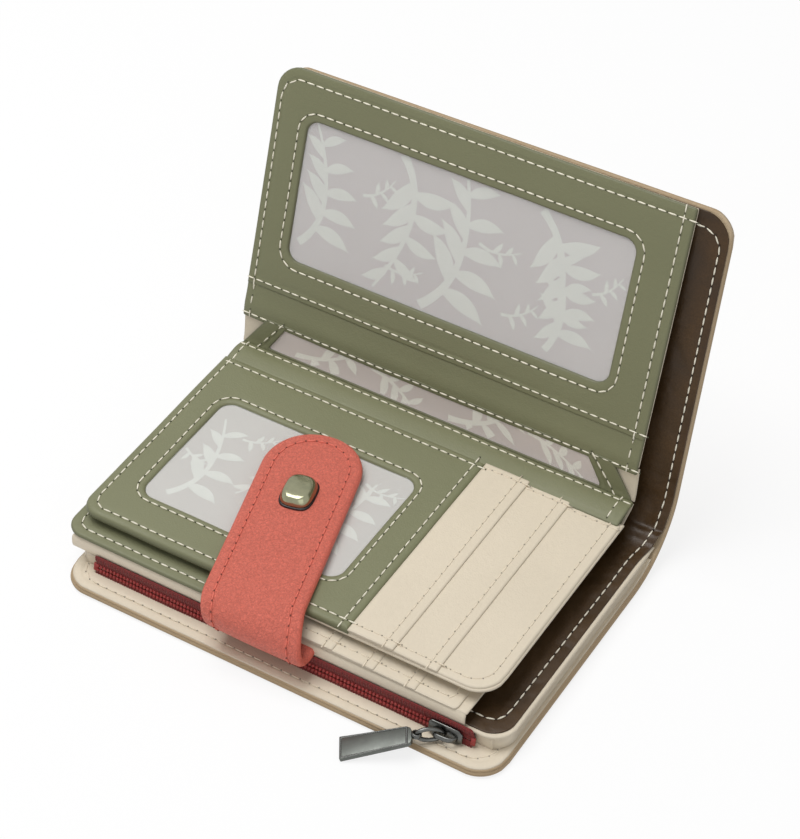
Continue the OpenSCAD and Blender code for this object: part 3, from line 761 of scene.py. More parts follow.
def leather(name, place, rect, radii, w0, w1, look, on, *nodes, seams=(), puff=0.0, near=NEAR, coarse=3.2,
            bow=None, open_end="", extra_u=()):
    """Sheet between the offsets w0 and w1, with round edges and a dip along each seam."""
    x0, u0, x1, u1 = rect
    radii = radii or (0,) * 4
    us = [u0 + v for v in steps_along(u1 - u0, near, coarse)]
    rows = []
    for u in sorted({*us, *(v for v in extra_u if u0 < v < u1)}):
        cuts = [round_corner(du, r, r) for du, r in zip((u - u0, u - u0, u1 - u, u1 - u), radii)]
        lo, hi = x0 + max(cuts[0], cuts[3]), x1 - max(cuts[1], cuts[2])
        rows.append([(lo + (hi - lo) * v / (x1 - x0), u) for v in steps_along(x1 - x0, near, coarse)])

    def measure(x, u):
        d = corner_distance(x, u, rect, radii)
        if open_end == "front":
            d = max(d, min(x - x0, x1 - x, u1 - u))
        elif open_end == "back" and u > (u0 + u1) / 2:
            d = max(d, min(x - x0, x1 - x, u - u0))
        return d, dips((d, seams)), bow(x, u) if bow else wave(x, u) if puff else 0.0

    return layer(name, place, rows, measure, w0, w1, look, on, nodes, puff)


def window_frame(name, place, rect, radii, hole, hole_r, w0, w1, look, on, *nodes, seams=(), hole_seams=(),
                 puff=0.0):
    """Leather frame round a window, with round edges inside and outside."""
    rows = []
    for (ox, ou), (ix, iu) in zip(outline(rect, radii), outline(hole, (hole_r,) * 4)):
        wide = hypot(ox - ix, ou - iu)
        near = [min(o / wide, 0.46 * (i + 1) / len(NEAR_WINDOW)) for i, o in enumerate(NEAR_WINDOW)]
        a, b = near[-1], 1 - near[-1]
        shares = near + [a + (b - a) * k / 6 for k in range(1, 6)] + [1 - s for s in reversed(near)]
        rows.append([(ix + (ox - ix) * s, iu + (ou - iu) * s) for s in shares])

    def measure(x, u):
        out, into = corner_distance(x, u, rect, radii), hole_distance(x, u, hole, hole_r)
        return min(out, into), dips((out, seams), (into, hole_seams)), wave(x, u)

    return layer(name, place, rows, measure, w0, w1, look, on, nodes, puff, ring=True)


def loft(name, rings, look, closed=False, **more):
    """Skin through rings of points, with capped ends or closed on itself."""
    n, m = len(rings), len(rings[0])
    verts = [p for ring in rings for p in ring]
    faces = []
    for i in range(n if closed else n - 1):
        for j in range(m):
            k, up = (j + 1) % m, (i + 1) % n * m
            faces.append((i * m + j, i * m + k, up + k, up + j))
    if not closed:
        for i in (0, n - 1):
            faces += [(i * m + j, i * m + (j + 1) % m, len(verts)) for j in range(m)]
            verts.append(sum(rings[i], Vector()) / m)
    return new_piece(name, verts, faces, look, **more)


def hoop(name, at, long, short, out_r, up_r, look, n=48):
    """Bar bent to an oval with the half axes long and short, with radii in its plane and off it."""
    up, sides = long.cross(short).normalized(), 12
    rings = []
    for b in (2 * pi * i / n for i in range(n)):
        out = (long * (cos(b) / long.length_squared) + short * (sin(b) / short.length_squared)).normalized()
        p = at + long * cos(b) + short * sin(b)
        turns = [2 * pi * k / sides for k in range(sides)]
        rings.append([p + out * (out_r * cos(t)) + up * (up_r * sin(t)) for t in turns])
    return loft(name, rings, look, closed=True)


def solid(name, place, points, w0, w1, look, bevel=0.2):
    """Plate of any outline with small bevels, extruded between two offsets."""
    n = len(points)
    verts = [place(x, u, w) for w in (w0, w1) for x, u in points]
    faces = [tuple(range(n - 1, -1, -1)), tuple(range(n, 2 * n))]
    faces += [(i, (i + 1) % n, (i + 1) % n + n, i + n) for i in range(n)]
    ob = new_piece(name, verts, faces, look)
    mod = ob.modifiers.new("edges", "BEVEL")
    mod.width, mod.segments, mod.limit_method, mod.angle_limit = bevel / 1000, 3, "ANGLE", 0.6
    made = evaluated(ob)
    ob.modifiers.clear()
    ob.data = made
    return ob


# Stitches and the zip's coil: shapes repeated along lines by one node group

REPEAT_INPUTS = {"Geometry": "NodeSocketGeometry", "Pitch": "NodeSocketFloat", "Size": "NodeSocketVector",
                 "Shift": "NodeSocketFloat", "Facing": "NodeSocketVector", "Material": "NodeSocketMaterial"}
REPEAT_NODES = {
    "start": "NodeGroupInput", "points": "GeometryNodeCurveToPoints", "ball": "GeometryNodeMeshUVSphere",
    "along": "ShaderNodeCombineXYZ", "shaped": "GeometryNodeTransform",
    "aim": "FunctionNodeAlignRotationToVector", "roll": "FunctionNodeAlignRotationToVector",
    "soft": "GeometryNodeSetShadeSmooth", "copies": "GeometryNodeInstanceOnPoints",
    "real": "GeometryNodeRealizeInstances", "dress": "GeometryNodeSetMaterial", "end": "NodeGroupOutput",
}
REPEAT_LINKS = (
    ("start", "Geometry", "points", "Curve"), ("start", "Pitch", "points", "Length"),
    ("start", "Shift", "along", "Z"), ("ball", "Mesh", "shaped", "Geometry"),
    ("start", "Size", "shaped", "Scale"), ("along", 0, "shaped", "Translation"),
    ("points", "Tangent", "aim", "Vector"), ("aim", 0, "roll", "Rotation"),
    ("start", "Facing", "roll", "Vector"), ("points", "Points", "copies", "Points"),
    ("shaped", 0, "soft", "Geometry"), ("soft", 0, "copies", "Instance"), ("roll", 0, "copies", "Rotation"),
    ("copies", 0, "real", 0), ("real", 0, "dress", "Geometry"), ("start", "Material", "dress", "Material"),
    ("dress", 0, "end", "Geometry"),
)


def repeat_tree():
    """Node group that lays one rounded shape after another along curves."""
    g = bpy.data.node_groups.new("shapes_along_lines", "GeometryNodeTree")
    for name, kind in REPEAT_INPUTS.items():
        g.interface.new_socket(name, in_out="INPUT", socket_type=kind)
    g.interface.new_socket("Geometry", in_out="OUTPUT", socket_type="NodeSocketGeometry")
    n = {key: g.nodes.new(kind) for key, kind in REPEAT_NODES.items()}
    n["points"].mode = "LENGTH"
    for key, value in (("Segments", 8), ("Rings", 6), ("Radius", 1)):
        n["ball"].inputs[key].default_value = value
    n["aim"].axis = "Z"
    n["roll"].axis, n["roll"].pivot_axis = "X", "Z"
    for a, out, b, into in REPEAT_LINKS:
        g.links.new(n[a].outputs[out], n[b].inputs[into])
    return g


def repeat(name, lines, pitch, size, look, on, *nodes, slot=None, shift=0.0, facing=(0, 0, 1)):
    """Shapes of a size in mm, repeated at a pitch along lines, as one plain mesh."""
    tree = bpy.data.node_groups.get("shapes_along_lines") or repeat_tree()
    curve = bpy.data.curves.new(name + "_line", "CURVE")
    curve.dimensions = "3D"
    for line in lines:
        s = curve.splines.new("POLY")
        s.points.add(len(line) - 1)
        for p, q in zip(s.points, line):
            p.co = (*((Vector(q) - ORIGIN) / 1000), 1)
    guide = show(name + "_line", curve)
    mod = guide.modifiers.new("shapes", "NODES")
    mod.node_group = tree
    values = {"Pitch": pitch / 1000, "Size": tuple(s / 1000 for s in size), "Shift": shift / 1000,
              "Facing": tuple(facing), "Material": material(look)}
    for item in tree.interface.items_tree:
        if item.in_out == "INPUT" and item.name in values:
            mod[item.identifier] = values[item.name]
    me = evaluated(guide)
    me.name = name
    bpy.data.objects.remove(guide)
    if not me.vertices:
        raise RuntimeError(name + " came out empty")
    carry(show(name, me), look, on, nodes, slot)


def drawn(place, w, *runs, step=1.0):
    """Lines through (x, u) points at a height over a place, in millimetres."""
    lines = []
    for points in runs:
        line = []
        for a, b in zip(points, points[1:]):
            n = max(1, int(dist(a, b) / step))
            line += [(a[0] + (b[0] - a[0]) * i / n, a[1] + (b[1] - a[1]) * i / n) for i in range(n)]
        lines.append([place(x, u, w + wave(x, u)) for x, u in [*line, points[-1]]])
    return lines


def sew(name, lines, slot, on):
    """Threads and needle holes along lines."""
    # Threads along lines, with dark spheres of painted shade at the needle holes between them.
    s = sizes()
    cord, hole = SEWING[slot]
    repeat(name + "_thread", lines, s.pitch, (s.thread, s.thread, s.stitch / 2), cord, on, slot=slot)
    repeat(name + "_holes", lines, s.pitch, (s.hole,) * 3, hole, on, slot=slot, shift=s.pitch / 2)


def stem(size, curl, t):
    turn = curl * (t - 0.3)
    return Vector((size * t * cos(turn * 0.5), size * t * sin(turn)))


def sprig_strips(size, curl, leaves):
    """Stem and leaves of one printed sprig, each as (point, half width) pairs from its foot."""
    thick = size * 0.03 + 0.12
    yield [(stem(size, curl, i / 18), thick * (1.05 - 0.75 * i / 18)) for i in range(19)]
    for i in range(leaves):
        t, side = 0.22 + 0.72 * i / leaves, 1 if i % 2 else -1
        long = size * (0.42 - 0.2 * t)
        tilt = curl * (t - 0.3) + side * (0.95 - 0.35 * t)
        leaf = []
        for r in (k / 10 for k in range(11)):
            bend = tilt + side * 0.35 * r
            wide = long * 0.17 * sin(pi * min(1, r * 1.02 + 0.04)) ** 0.8
            leaf.append((stem(size, curl, t) + long * r * Vector((cos(bend), sin(bend))), max(0.02, wide)))
        yield leaf


def printed(name, place, rect, w, sprigs, look, on):
    """All the sprigs of one window, cut off at its edges by staying inside them."""
    x0, u0, x1, u1 = rect
    verts, faces = [], []
    for k, (across, along, size, degrees, curl, leaves) in enumerate(sprigs):
        foot = Vector((x0 + across * (x1 - x0), u0 + along * (u1 - u0)))
        turn = Matrix.Rotation(radians(degrees), 2)
        for n, strip in enumerate(sprig_strips(size, curl, leaves)):
            rows = []
            for i, (p, h) in enumerate(strip):
                way = (strip[min(i + 1, len(strip) - 1)][0] - strip[max(i - 1, 0)][0]).normalized() * h
                side = Vector((-way.y, way.x))
                rows.append((foot + turn @ (p + side), foot + turn @ (p - side)))
            for a, b in zip(rows, rows[1:]):
                quad = (a[0], a[1], b[1], b[0])
                if all(x0 < q.x < x1 and u0 < q.y < u1 for q in quad):
                    faces.append(range(len(verts), len(verts) + 4))
                    verts += [place(*q, w + 0.002 * k + 0.004 * (n + 1)) for q in quad]
    carry(new_piece(name, verts, faces, look), look, on)


def window(name, place, hole, margin, board, paper, sprigs, film, bow, body, board_node, film_node):
    """Printed board between two heights, and a wavy film over it, both wider than their window."""
    under = inset(hole, -margin)
    leather(name + "_board", place, under, (3,) * 4, *board, paper, body, board_node, near=NEAR_THIN)
    printed(name + "_print", place, inset(hole, -0.6), board[1] + 0.03, sprigs, "print_ink", body)
    leather(name + "_film", place, under, (3,) * 4, film, film + 0.08, "clear_film", body, film_node,
            near=NEAR_FILM, coarse=2.5, bow=lambda x, u: bow[0] * sin(x * bow[1]) * sin(u * bow[2]))


# The wallet's pieces


class Maker(bpy.types.Operator):
    """Base of the wallet's operators."""

    bl_options = {"REGISTER", "UNDO"}

    def execute(self, context):
        self.make()
        return {"FINISHED"}


class MakeCover(Maker):
    """Outer cover: one skin that bends round the spine, in two pieces."""

    bl_idname = "wallet.make_cover"
    bl_label = "Cover"

    def make(self):
        fine = [BEND_START - 4 + i * 1.1 for i in range(50)]
        leather("cover_skin_lower", cover_skin_place, (0, 0, COVER_L, PARTING), (9, 9, 0, 0), -0.8, 0.8,
                "cover_leather", LOW_BEND, "lower_cover", "spine_cover", open_end="back", extra_u=fine)
        leather("cover_skin_upper", cover_skin_place, (0, PARTING, COVER_L, COVER_END), (0, 0, 9, 9), -0.8,
                0.8, "cover_leather", HIGH_BEND, "upper_cover", open_end="front", extra_u=fine)


class MakeLiner(Maker):
    """Brown satin lining of the note compartment, with its seam along the right edge."""

    bl_idname = "wallet.make_liner"
    bl_label = "Brown lining"

    def make(self):
        fine = [80 + i * 0.7 for i in range(78)]
        end, part = LINER.u[-1], LINER_PARTING
        leather("satin_lower", satin_place, (2, LINER_FRONT, 142.6, part), (6, 7, 0, 0), -0.25, 0.25,
                "brown_satin", LOW_BEND, "note_liner_lower", "spine_liner", open_end="back", extra_u=fine)
        leather("satin_upper", satin_place, (2, part, 142.6, end), (0, 0, 8.5, 8), -0.25, 0.25,
                "brown_satin", HIGH_BEND, "upper_liner", open_end="front", extra_u=fine)
        front = [(129.5, 14.2), (134.8, 14.2), (137.2, 15.0), (138.6, 16.8), (139.2, 20), (140.0, 85),
                 (140.2, part)]
        over = [(140.2, part), (140.4, end - 9.4), (138.8, end - 6.2), (135.6, end - 4.6), (110, end - 4.6)]
        sew("satin_lower_seam", drawn(satin_place, 0.36, front), "brown_lining", LOW_BEND)
        sew("satin_upper_seam", drawn(satin_place, 0.36, over), "brown_lining", HIGH_BEND)


class MakeCoinPocket(Maker):
    """Coin pocket: tan edge, cream lining, folded side walls and the roof with its lip."""

    bl_idname = "wallet.make_coin_pocket"
    bl_label = "Coin pocket"

    def make(self):
        leather("cover_edge_layer", cover_skin_place, (0.35, 0.35, 144.65, 91), (8.8, 8.8, 0, 0), 0.5, 1.45,
                "cover_leather", LOW_BEND)
        leather("coin_pocket_floor", cover_skin_place, (0.8, 0.8, 144.2, 92), (8.4, 8.4, 0, 0), 1.2, 1.72,
                "cream_leather", LOW_BEND, "pocket_floor", seams=(2.9,), puff=0.1)
        leather("coin_pocket_roof", flat, (1.4, 8.75, 143.7, 93.6), (7, 7, 0, 0), ROOF_Z - 0.1,
                LINER_Z + 0.1, "cream_leather", LOW_BEND, "pocket_roof", "pocket_back_seam")
        for side, x0, inwards in (("left", 1.9, 1), ("right", 143.5, -1)):
            leather("folded_wall_" + side, fold_wall(x0, inwards), (9.3, 0, 94.5, 1), None, -0.2, 0.2,
                    "cream_leather", LOW_BEND, "gusset_" + side, near=NEAR_WALL, coarse=0.1)
        for side, x0, x1 in (("left", 5.6, 11.0), ("right", 134.2, 139.8)):
            leather("pocket_corner_" + side, lambda x, u, w=0.0: Vector((x, 9.5 + w, u)),
                    (x0, 2.35, x1, 6.7), None, -0.2, 0.2, "cream_leather", "base", near=NEAR_WALL, coarse=0.5)
        seam = [(4.2, 60), (4.2, 11), (5.2, 7), (8.0, 4.4), (12, 3.7), (133, 3.7), (136.8, 4.4), (139.8, 7),
                (141, 11), (141, 80)]
        sew("coin_floor_seam", drawn(cover_skin_place, 1.84, seam), "cream_leather", "base")


class MakeZip(Maker):
    """Zip: woven tape, two rows of coil and the end stops."""

    bl_idname = "wallet.make_zip"
    bl_label = "Zip"

    def make(self):
        for name, v0, v1, node in (("zip_tape_foot", -0.25, ZIP_MID - 0.12, "zip_tape_lower"),
                                   ("zip_tape_head", ZIP_MID + 0.12, ZIP_H + 2.1, "zip_tape_upper")):
            leather(name, tape_place, (10.2, v0, 134.8, v1), (0.3, 1.6, 1.6, 0.3), -0.25, 0.3, "zip_cloth",
                    "base", node, near=NEAR_TAPE, coarse=0.6)
        for name, v, node in (("coil_row_foot", ZIP_MID - 0.72, "zip_teeth_lower"),
                              ("coil_row_head", ZIP_MID + 0.72, "zip_teeth_upper")):
            row = [zip_place(x, v, 0.35) for x in (11.0, 70.0, PIN_X)]
            repeat(name, [row], sizes().tooth, (0.42, 0.62, 0.5), "zip_coil", "base", node, facing=ZIP_OUT)
        heights = [0.1, 0.62] + [ZIP_MID + 1.35 + 0.55 * i for i in range(5)]
        ribs = [[tape_place(x, v, 0.28) for x in (10.6, 70.0, 134.2)] for v in heights]
        repeat("zip_tape_ribs", ribs, 0.82, (0.16, 0.2, 0.34), "zip_cloth", "base", facing=ZIP_OUT)
        for side, x0, *nodes in (("left", 9.5), ("right", 133.8, "zip_stops")):
            leather("zip_stop_" + side, zip_place, (x0, ZIP_MID - 1.3, x0 + 1.5, ZIP_MID + 1.3), (0.4,) * 4,
                    -0.6, 0.7, "zip_coil", "base", *nodes, near=NEAR_METAL, coarse=0.4)


class MakeZipPull(Maker):
    """Slider with its crown, wire ring and flared pull tab."""

    bl_idname = "wallet.make_zip_pull"
    bl_label = "Zip pull"

    def make(self):
        self.slider(121.5, ZIP_MID + 0.05)
        pin = zip_place(PIN_X, ZIP_MID - 0.1, PIN_OUT)
        joined("pull_ring_wire", [hoop("wire", (pin + TAB_AT) / 2, (TAB_AT - pin) / 2, ZIP_UP * 1.85, 0.62,
                                       0.62, "gunmetal")], "ring", "pull_ring")
        self.tab(radians(212), radians(15))

    def slider(self, x0, mid):
        shape = [(0, 1.7), (0.7, 2.35), (6.5, 2.4), (9.0, 2.35), (10.4, 1.5), (10.5, 0.6), (10.5, -0.6),
                 (10.4, -1.4), (9.0, -2.1), (6.5, -2.15), (0.7, -2.05), (0, -1.5)]
        front, back = ([(x0 + a, mid + b * k) for a, b in reversed(shape)] for k in (1, 0.45))
        stem = [(x0 + a, mid + b) for a, b in ((6, -0.13), (9.6, -0.13), (9.6, 0.03), (6, 0.03))]
        arch = Profile(smooth_line([(1.9, 1.7), (2.2, 3.2), (3.4, 4.0), (5.2, 4.15), (7.2, 3.9), (8.5, 3.0),
                                    (8.9, 1.7)], 5))

        def over(v, u, w=0.0):
            q = arch(v, u, w)
            return zip_place(x0 + q.y, mid - 0.15 + v, q.z)

        joined("zip_slider_body", [
            solid("slider_plate", zip_place, front, 1.0, 1.85, "gunmetal", 0.28),
            solid("slider_back", zip_place, back, -1.75, -1.0, "gunmetal"),
            solid("slider_post", zip_place, stem, -1.2, 1.2, "gunmetal", 0.04),
            leather("slider_crown", over, (-0.78, 0, 0.78, arch.u[-1]), None, -0.42, 0.42, "gunmetal", None,
                    near=NEAR_METAL, coarse=0.4),
        ], "slider", "zip_slider")

    def tab(self, yaw, drop):
        along = Vector((cos(yaw) * cos(drop), sin(yaw) * cos(drop), -sin(drop)))
        side = Vector((-sin(yaw), cos(yaw), 0))
        up = along.cross(side)

        def place(a, b, w=0.0):
            return TAB_AT + along * a + side * b + up * w

        half = [(1.2, 1.6), (1.5, 2.5), (2.3, 3.0), (8, 3.3), (21.2, 3.9), (21.4, 3.7)]
        edge = [(a, -b) for a, b in half] + half[::-1]
        joined("pull_tab_body", [
            solid("pull_plate", place, edge, -0.8, 0.45, "brushed_plate", 0.22),
            window_frame("pull_rim", lambda x, u, w=0.0: place(x, u * (0.8 + 0.009 * x), w),
                         (2.2, -3.75, 21.3, 3.75), (0.5,) * 4, (2.9, -3.2, 20.7, 3.2), 0.4, 0.25, 0.6,
                         "gunmetal", None),
            hoop("pull_eye", TAB_AT, ZIP_OUT * 1.175, Vector((1.175, 0, 0)), 0.325, 0.75, "gunmetal", 28),
        ], "tab", "pull_tab")


class MakeNoteWall(Maker):
    """Cream inner wall of the note compartment and the bands that close its left and its front."""

    bl_idname = "wallet.make_note_wall"
    bl_label = "Inner wall"

    def make(self):
        def slant(x, y, w=0.0):
            return Vector((x - 2.6 * x / PAGE_L * (1 - smooth((y - 9) / 70)), y, w))

        leather("inner_wall_sheet", slant, (-0.4, 9.3, 134.2, LEAF2_BACK), (5, 0.6, 0, 0), WALL_Z - 0.2,
                LEAF2_Z - 0.05, "cream_leather", "base", "inner_wall", near=NEAR_THIN)
        side = Profile(smooth_line([(2.3, 7.5), (1.2, 8.0), (0.75, 9.4), (0.55, 11.0), (0.5, 12.1)]))
        front = Profile(smooth_line([(9.7, 7.5), (8.95, 8.0), (8.75, 9.4), (8.95, 11.0), (9.6, 12.1)]))

        def left_side(y, u, w=0.0):
            p = side(0, u, w)
            return Vector((p.y + round_corner(y, 14.3, 5), y, p.z))

        leather("left_band", left_side, (9.45, 0, 87.5, side.u[-1]), None, -0.3, 0.3, "cream_leather",
                "base", "wall_side_seam", near=NEAR_BAND, coarse=0.7)
        leather("front_band", front, (1.6, 0, 131.4, front.u[-1]), (0.8,) * 4, -0.3, 0.3, "cream_leather",
                "base", "wall_front_seam", near=NEAR_BAND, coarse=0.7)


class MakeSecondLeaf(Maker):
    """Second leaf: olive page at the left and stepped card pockets at the right."""

    bl_idname = "wallet.make_second_leaf"
    bl_label = "Second leaf"

    def make(self):
        leather("second_leaf_olive", flat, (-1.2, 8.5, 77, LEAF2_BACK), (6, 0, 0, 0), LEAF2_Z - 0.1, 13.65,
                "olive_leather", "base", "second_leaf_page", seams=(3.1,), puff=0.12)
        for i, x1 in enumerate((89.3, 102.5, 115.6, 128.6)):
            z, last = 13.7 - i * 0.3, i == 3
            leather("second_pocket_face_%d" % (i + 1), flat, (76.2, 8.95, x1, LEAF2_BACK),
                    (0, 1.5 if last else 0.4, 0, 0), LEAF2_Z if last else z - 0.42, z, "cream_leather",
                    "base", "second_pocket_%d" % (i + 1), puff=0.1)
        page = [(1.9, 80), (1.9, 14.6), (3.1, 12.2), (5.6, 11.4), (76, 11.4)]
        sew("second_leaf_seam", drawn(flat, 13.77, page), "olive_leather", "base")
        lines = drawn(flat, 12.94, [(116.4, 12.0), (125.4, 12.0), (125.4, 82)])
        for x0, x1, x, z in ((77.5, 88.6, 86.3, 13.84), (90, 101.8, 99.5, 13.54),
                             (103.2, 115, 112.6, 13.24)):
            lines += drawn(flat, z, [(x0, 12.0), (x1, 12.0)], [(x, 9.4), (x, 82)])
        sew("second_pocket_seams", lines, "cream_leather", "base")


# Sprigs: place in the window as shares, size, turn in degrees, curl and count of leaves
SPRIGS_LEAF = ((0.1, 0.1, 30, 62, 0.9, 7), (0.42, 0.95, 26, -70, -0.8, 7), (0.62, 0.1, 34, 40, 0.7, 9),
               (0.2, 0.75, 11, 10, 0.5, 5), (0.8, 0.82, 12, -20, 0.6, 5), (0.02, 0.5, 10, -30, 0.4, 5))
SPRIGS_PAGE = ((0.03, 0.15, 34, 58, 0.9, 9), (0.3, 0.98, 38, -62, -0.9, 9), (0.42, 0.05, 42, 52, 0.8, 9),
               (0.72, 0.96, 36, -50, -0.7, 9), (0.8, 0.08, 30, 70, 0.7, 7), (0.2, 0.62, 12, 20, 0.5, 5),
               (0.56, 0.6, 13, -15, 0.6, 5), (0.9, 0.55, 11, 25, 0.5, 5), (0.3, 0.22, 12, -10, 0.5, 5),
               (0.66, 0.2, 12, 12, 0.5, 5))
SPRIGS_GAP = ((0.08, 0.2, 26, 12, 0.5, 7), (0.3, 0.8, 22, -14, -0.4, 7), (0.55, 0.2, 28, 10, 0.4, 7),
              (0.8, 0.8, 20, -12, -0.4, 7))
LEAF_HOLE = (12.3, 28.4, 78.4, 71.9)
PAGE_HOLE = (12.4, 21.0, 119.4, 65.4)


class MakeTopLeaf(Maker):
    """Top leaf: olive frame with its window, cream backing and stepped card pockets."""

    bl_idname = "wallet.make_top_leaf"
    bl_label = "Top leaf"

    def make(self):
        leather("top_leaf_back", flat, (60, 13.9, 136.2, LEAF_BACK), (1, 8, 0, 0), LEAF_Z + 0.35,
                LEAF_Z + 1.25, "cream_leather", "base", "top_leaf_backing")
        window_frame("top_leaf_olive", flat, (0.5, 14.0, 91.3, LEAF_BACK), (6, 0, 0, 0), LEAF_HOLE, 4,
                     LEAF_Z + 0.1, LEAF_TOP - 0.05, "olive_leather", "base", "top_leaf_frame",
                     seams=(2.9,), hole_seams=(2.4,), puff=0.2)
        window("top_window", flat, LEAF_HOLE, 1.2, (16.7, 17.45), "pale_board", SPRIGS_LEAF, 17.6,
               (0.06, 0.21, 0.17), "base", "top_leaf_insert", "top_leaf_film")
        for i, x1 in enumerate((105.6, 119.4, 135.7)):
            top, last = 18.2 - 0.55 * i, i == 2
            leather("top_pocket_face_%d" % (i + 1), flat,
                    (91.0 - 0.8 * i, 14.1 + 0.15 * i, x1, 88.9 - 0.7 * i), (0, 8 if last else 0.5, 0.6, 0),
                    top - (1.0 if last else 0.6), top, "cream_leather", "base", "top_pocket_%d" % (i + 1),
                    puff=0.14)
        sew("top_leaf_seams", drawn(
            flat, LEAF_TOP + 0.12, seam_loop(LEAF_HOLE, 2.4, 6.2, (20, 14)),
            [(3.4, 86), (3.4, 21), (4.4, 18.4), (6.8, 16.9), (91, 16.9)],
            [(88.4, 14.6), (88.4, 88.2)], [(3.6, 86.2), (90.8, 86.2)]), "olive_leather", "base")
        right = [(120.4, 17.0), (127.0, 17.0), (130.0, 18.1), (132.2, 20.8), (132.7, 24), (132.7, 86.6)]
        cards = drawn(flat, 17.24, [(120.4, 85.5), (134.6, 85.5)], right)
        for x0, x1, back, z in ((92.6, 105.2, 86.9, 18.34), (106.6, 119.0, 86.2, 17.79)):
            cards += drawn(flat, z, [(x0, 16.9), (x1, 16.9)], [(x0, back), (x1, back)],
                           [(x1 - 2.7, 14.6), (x1 - 2.7, back + 1)])
        sew("card_pocket_seams", cards, "cream_leather", "base")


class MakeGapSheets(Maker):
    """Hinge strip, and the sheets that cross the gap between the leaves and the upper page."""

    bl_idname = "wallet.make_gap_sheets"
    bl_label = "Hinge strip and gap"

    def make(self):
        front = 86.6
        strip = Profile(smooth_line([(front, 17.1), (88.6, 17.6), (91.0, 18.0), (93.6, 18.1), (97.1, 17.35)]),
                        front)
        leather("hinge_strip_leather", strip, (1.2, front, 135.0, strip.u[-1]), (0.5, 0.5, 1.5, 1.5), -0.35,
                0.3, "olive_leather", STRIP_BEND, "hinge_strip", seams=(1.6,), puff=0.1)
        back = strip.u[-1] - 1.8
        sew("hinge_strip_seam", drawn(strip, 0.35, [(2.6, back), (133.2, back)],
                                      *([(x, back + 1.4), (x, 89.4)] for x in (3.4, 131.0))),
            "olive_leather", STRIP_BEND)
        end, low_end = GAP_HIGH.u[-1], GAP_LOW.u[-1]
        leather("inner_page_low", GAP_LOW, (1.2, 0, 134.0, low_end), None, -0.6, 0, "olive_leather",
                GAP_LOW_BEND, "inner_page", near=NEAR_THIN, open_end="back")
        leather("wall_hinge_low", GAP_LOW, (0.6, 0, 134.4, low_end), None, -1.6, -1.1, "cream_leather",
                GAP_LOW_BEND, "wall_hinge", near=NEAR_THIN, open_end="back")

        def slope(x, u, w=0.0):
            return GAP_HIGH(67.9 + (x - 67.9) * (1 - 0.12 * u / end), u, w)

        window_frame("inner_page_high", slope, (1.2, 0, 134.0, end), (0,) * 4,
                     (9.6, 1.0, 124.2, end - 0.4), 1.0, -0.6, 0, "olive_leather", GAP_HIGH_BEND,
                     hole_seams=(2.0,))
        leather("wall_hinge_high", GAP_HIGH, (0.6, 0, 134.4, end), None, -1.6, -1.1, "cream_leather",
                GAP_HIGH_BEND, near=NEAR_THIN, open_end="front")
        # This board and its print are painted lighter than the others, against the shade in the gap
        leather("gap_board", slope, (7, 0.3, 127, end - 0.2), None, -1.0, -0.65, "gap_paper", GAP_HIGH_BEND,
                "inner_page_insert", near=NEAR_THIN)
        printed("gap_print", slope, (9, 0.4, 125, end - 0.3), -0.62, SPRIGS_GAP, "gap_ink", GAP_HIGH_BEND)
        leather("gap_film", slope, (8, 0.4, 126, end - 0.3), None, -0.5, -0.42, "clear_film", GAP_HIGH_BEND,
                "inner_page_film", near=NEAR_FILM)
        sew("gap_seam", drawn(slope, 0.1, [(128.6, 0.6), (127.2, end - 0.6)], [(6.4, 0.6), (7.4, end - 0.6)]),
            "olive_leather", GAP_HIGH_BEND)


class MakePage(Maker):
    """Upper page: olive frame with its wide window, pleated hem band and cream back."""

    bl_idname = "wallet.make_page"
    bl_label = "Upper page"

    def make(self):
        leather("page_back", page_place, (0.7, 0.1, 134, 80.3), (0.5, 0.5, 0.5, 8), 0.0, 0.6,
                "cream_leather", "upper", "page_backing", near=NEAR_THIN)
        window_frame("page_olive", page_place, (0.5, 9.0, 134.0, 80.5), (0, 0, 0.8, 8), PAGE_HOLE, 4, 0.45,
                     1.62, "olive_leather", "upper", "page_frame", seams=(3.0,), hole_seams=(2.6,), puff=0.2)
        leather("page_hem_band", page_hem_place, (0.5, -2.0, 134.0, 10.2), (0.5, 0.5, 0.3, 0.3), 0.35, 1.25,
                "olive_leather", "upper", "page_band", puff=0.25, coarse=1.5)
        window("page_window", page_place, PAGE_HOLE, 1.4, (0.5, 0.82), "printed_board", SPRIGS_PAGE, 0.98,
               (0.08, 0.13, 0.16), "upper", "page_insert", "page_film")
        self.side_wall()
        lines = drawn(page_place, 1.75, seam_loop(PAGE_HOLE, 2.7, 6.4, (30, 16)),
                      [(2.9, 10), (2.6, 70), (3.6, 74.2), (7.4, 76.9), (133.6, 76.9)],
                      [(130.8, 79.8), (130.8, 10)])
        lines += drawn(page_place, 1.74, [(1.6, 11.0), (133.4, 11.0)])
        lines += drawn(page_hem_place, 1.45, [(1.6, -0.6), (133.4, -0.6)])
        lines += drawn(page_hem_place, 1.5, *([(x, -0.6), (x, 8.6)] for x in (130.8, 3.0)))
        sew("page_seams", lines, "olive_leather", "upper")

    def side_wall(self):
        """Thin wall that closes the left side between the page and the cover."""
        rings = []
        for s in (74 * i / 20 for i in range(21)):
            page = page_place(0, 1.5 + s, -0.05)
            cover = HINGE2 + UP * (3.4 + s) + Vector((0, -UP.z, UP.y)) * 1.3
            rows = (page, page.lerp(cover, 0.5), cover)
            rings.append([Vector((2.3 + w, p.y, p.z)) for w, line in ((-0.2, rows), (0.2, rows[::-1]))
                          for p in line])
        unworn = [2.0] * (6 * len(rings) + 2)
        wall = loft("page_side_leather", rings, "olive_leather", edge=unworn, soft=False)
        carry(wall, "olive_leather", "upper", ("page_side_wall",))


